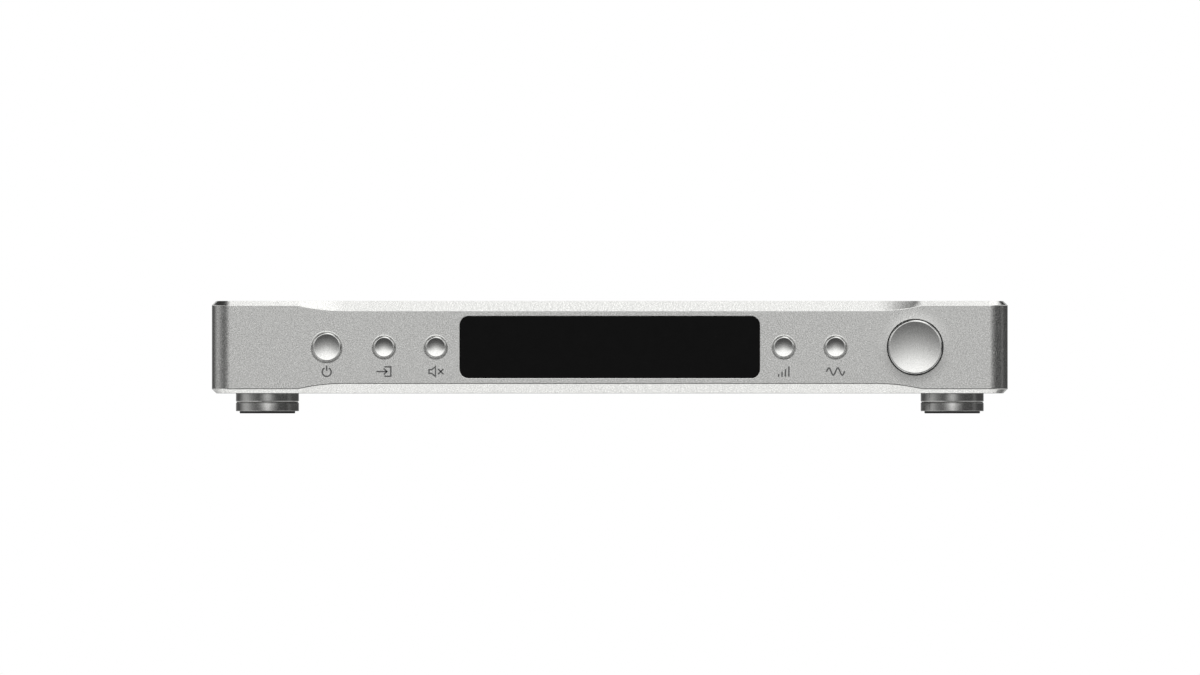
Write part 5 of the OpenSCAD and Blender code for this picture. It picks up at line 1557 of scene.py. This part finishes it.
@dataclass
class Transformer:
    """Ring transformer wrapped in overlapping tape, under its dished clamp."""

    middle_mm: Point = (-148.0, 61.25)
    low_z_mm: float = 15.3
    outer_mm: float = 45.0
    inner_mm: float = 17.0
    height_mm: float = 32.0
    round_mm: float = 9.0
    tape_mm: float = 0.3
    band_mm: float = 8.0
    wraps: int = 44
    lean: float = 0.05
    ring_inset: float = 1.6
    tape_inset: float = 0.8
    clamp_edge_mm: float = 0.3

    def section(self, inset: float) -> list[Point]:
        """The ring's rounded section, as radius and height.

        Args:
            inset: How far it lies inside the CAD solid's surface.

        Returns:
            Its corners in order.
        """
        half_w, half_h = (self.outer_mm - self.inner_mm) / 2 - inset, self.height_mm / 2 - inset
        r, middle = self.round_mm - inset, (self.outer_mm + self.inner_mm) / 2
        points = []
        for q in range(4):
            sx, sz = (1 if q in (0, 3) else -1), (1 if q < 2 else -1)
            for i in range(9):
                a = math.radians(90 * q + 90 * i / 8)
                points.append((middle + sx * (half_w - r) + r * math.cos(a),
                               self.height_mm / 2 + sz * (half_h - r) + r * math.sin(a)))
        return points

    def build(self) -> None:
        """Build the wound ring, its tape and its clamp."""
        at = Vector((*self.middle_mm, self.low_z_mm)) * MM
        section = self.section(self.tape_mm * self.ring_inset)
        body = lathe("wound_ring", section, [at], Axis.UP, closed=True, segments=96)
        new_piece("wound_ring", body, COPPER, "chassis", ["transformer"])
        section = self.section(self.tape_mm * self.tape_inset)
        loop = points_mesh("tape_path", [(r, 0.0, z) for r, z in section], True, True)
        mesh = grown("tape_wraps", loop, wraps_round_ring(),
                     {"Wraps": self.wraps, "Band": self.band_mm * MM,
                      "Thickness": self.tape_mm * MM, "Lean": self.lean, "Finish": TAPE.material()})
        mesh.transform(Matrix.Translation(at))
        new_piece("tape_wraps", mesh, TAPE, "chassis", ["transformer"])
        refined("transformer_clamp", SHEET_BLACK, self.clamp_edge_mm)
        refined("transformer_bolt", STEEL)


@dataclass
class Wiring:
    """Ribbon cables with their round cores side by side, and the mains leads."""

    drop_mm: float = 8.0
    bend_mm: float = 12.0
    flat_mm: float = 3.0
    core_mm: float = 1.0
    core_overlap: float = 1.04
    # Each ribbon's name, middle, width, and ends behind the front panel's face.
    ribbons: tuple[tuple[str, float, float, float, float], ...] = (
        ("display_ribbon", 0.0, 30.0, 20.5, 133.0), ("right_ribbon", 137.5, 22.0, 34.6, 133.0),
        ("left_ribbon", -123.5, 22.0, 34.6, 49.0))
    lead_mm: float = 2.0
    turn_mm: float = 2.5
    rear_mm: float = 300.0
    # Where the leads end, as X and the distance before the rear panel or behind the front one.
    inlet_mm: Point = (-166.0, 31.0)
    switch_mm: Point = (-126.0, 23.0)
    board_mm: Point = (-100.0, 147.0)
    inlet_half_mm: float = 7.0
    switch_half_mm: float = 3.5
    level_mm: float = 3.0
    run_mm: Point = (3.0, 5.0)
    apart_mm: float = 4.0

    def smooth_path(self, corners: Sequence[Sequence[float]]) -> list[Vector]:
        """Round every corner of a path as a lead bends.

        Args:
            corners: The path's corners in millimetres.

        Returns:
            The rounded path.
        """
        path = [Vector(c) for c in corners]
        points = [path[0]]
        for before, here, after in zip(path, path[1:], path[2:]):
            points += fillet(before, here, after, self.turn_mm, 6)
        return points + [path[-1]]

    def ribbon(self, name: str, x: float, width: float, y0: float, y1: float) -> bpy.types.Mesh:
        """Build one ribbon cable in an easy S from its upper to its lower plug.

        Args:
            name: The mesh's name.
            x: Its middle.
            width: Its width.
            y0: Its front end, behind the front panel's face.
            y1: Its rear end.

        Returns:
            The mesh.
        """
        bend = min(self.bend_mm, (y1 - y0) / 2 - self.flat_mm)
        low = y1 - self.flat_mm
        first = x - width / 2 + self.core_mm / 2
        z = MID_Z_MM + self.core_mm / 2
        points = [(first, y0 + FRONT_Y_MM, z)]
        steps = 16
        for t in (i / steps for i in range(steps + 1)):
            drop = self.drop_mm * (0.5 * t + 0.5 * (1 - math.cos(math.pi * t)) / 2)
            points.append((first, low - bend + bend * t + FRONT_Y_MM, z - drop))
        points.append((first, y1 + FRONT_Y_MM, z - self.drop_mm))
        return grown(name, points_mesh(f"{name}_path", points, True),
                     bpy.data.node_groups.get("row_of_tubes") or row_of_tubes(),
                     {"Radius": self.core_mm / 2 * self.core_overlap * MM, "Sides": 8,
                      "Count": round(width / self.core_mm),
                      "Step": (self.core_mm * MM, 0.0, 0.0), "Finish": RIBBON.material()})

    def build(self) -> None:
        """Build the ribbons and the leads from their listed ends."""
        tubes = bpy.data.node_groups.get("row_of_tubes") or row_of_tubes()
        for name, *sizes in self.ribbons:
            new_piece(name, self.ribbon(name, *sizes), RIBBON, "chassis", ["ribbon_cables"], 50.0)
        rear = FRONT_Y_MM + self.rear_mm
        high, low = MID_Z_MM + self.level_mm, MID_Z_MM - self.level_mm
        tail, switch = rear - self.inlet_mm[1], rear - self.switch_mm[1]
        for i, name in enumerate(("live_lead", "neutral_lead")):
            side = (-1, 1)[i]
            step = self.apart_mm * (1 - i)
            inlet = self.inlet_mm[0] + side * self.inlet_half_mm
            near = self.switch_mm[0] - side * self.switch_half_mm
            far = self.switch_mm[0] + side * self.switch_half_mm
            x, y = self.board_mm[0] + self.apart_mm * i, FRONT_Y_MM + self.board_mm[1]
            first, second = tail - self.run_mm[0] - step, switch - self.run_mm[1] - step
            for part, corners in (
                ("a", [(inlet, tail, high), (inlet, first, high), (near, first, high),
                       (near, switch, high)]),
                ("b", [(far, switch, low), (far, second, low), (x, second, low), (x, y, low)])):
                label = f"{name}_{part}"
                path = points_mesh(f"{label}_path", self.smooth_path(corners), True)
                mesh = grown(label, path, tubes,
                             {"Radius": self.lead_mm / 2 * MM, "Sides": 12, "Count": 1,
                              "Step": (0.0, 0.0, 0.0), "Finish": LEAD.material()})
                new_piece(label, mesh, LEAD, "chassis", ["mains_leads"])


@dataclass
class Interior:
    """Boards and parts on them, seen only through the ventilation slots."""

    can_mm: float = 22.0
    can_height_mm: float = 28.0
    can_pitch_mm: float = 26.0
    board_edge_mm: float = 0.1
    relay_edge_mm: float = 0.5
    film_edge_mm: float = 1.2
    sink_edge_mm: float = 0.2

    def capacitors(self) -> None:
        """Build the reservoir capacitors: sleeved cans with a bare lid."""
        low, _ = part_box("reservoir_capacitors")
        r, h, p = self.can_mm / 2, self.can_height_mm, self.can_pitch_mm
        places = [(low.x / MM + r + i * p, low.y / MM + r + j * p, low.z / MM)
                  for i in range(3) for j in range(2)]
        # The rounded foot with its bead, the straight side, and the rim under the shrunk sleeve.
        profile = [(0.0, 0.0), (r - 0.8, 0.0), (r - 0.2, 0.4), (r, 1.0), (r, 2.2), (r - 0.7, 2.9),
                   (r - 0.7, 3.5), (r, 4.2), (r, h - 1.0), (r - 0.3, h - 0.3), (r - 1.0, h),
                   (r - 2.2, h), (r - 2.3, h - 0.3), (0.0, h - 0.3)]
        sleeve = lathe("sleeve", profile, [(0, 0, 0)], Axis.UP, segments=48)
        set_pieces("capacitor_sleeves", sleeve, places, Axis.UP, CAN, ["reservoir_capacitors"])
        # The bare lid inside that rim, with the dimple in its middle.
        profile = [(0.0, h - 0.6), (r - 2.4, h - 0.6), (r - 2.4, h - 0.12), (r - 3.2, h - 0.05),
                   (1.2, h - 0.05), (0.9, h - 0.2), (0.0, h - 0.2)]
        top = lathe("can_top", profile, [(0, 0, 0)], Axis.UP, segments=36)
        set_pieces("capacitor_tops", top, places, Axis.UP, STEEL, ["reservoir_capacitors"])

    def build(self) -> None:
        """Build and dress the inside."""
        for node in ("main_board", "socket_board", "power_board"):
            refined(node, BOARD, self.board_edge_mm)
        refined("relays", PLASTIC, self.relay_edge_mm)
        refined("film_capacitors", FILM, self.film_edge_mm)
        self.capacitors()
        refined("heat_sink", SINK, self.sink_edge_mm)
        dress(STEEL, "board_spacers")


def main() -> None:
    """Build the whole scene in order."""
    logging.basicConfig(level=logging.INFO, format="%(message)s")
    Studio().build()
    for part in (Case(), Controls(), Printing(), Feet(), RearSockets(), Fasteners(), Interior(),
                 Transformer(), Wiring()):
        LOG.info("building %s", type(part).__name__)
        part.build()


if __name__ == "__main__":
    main()
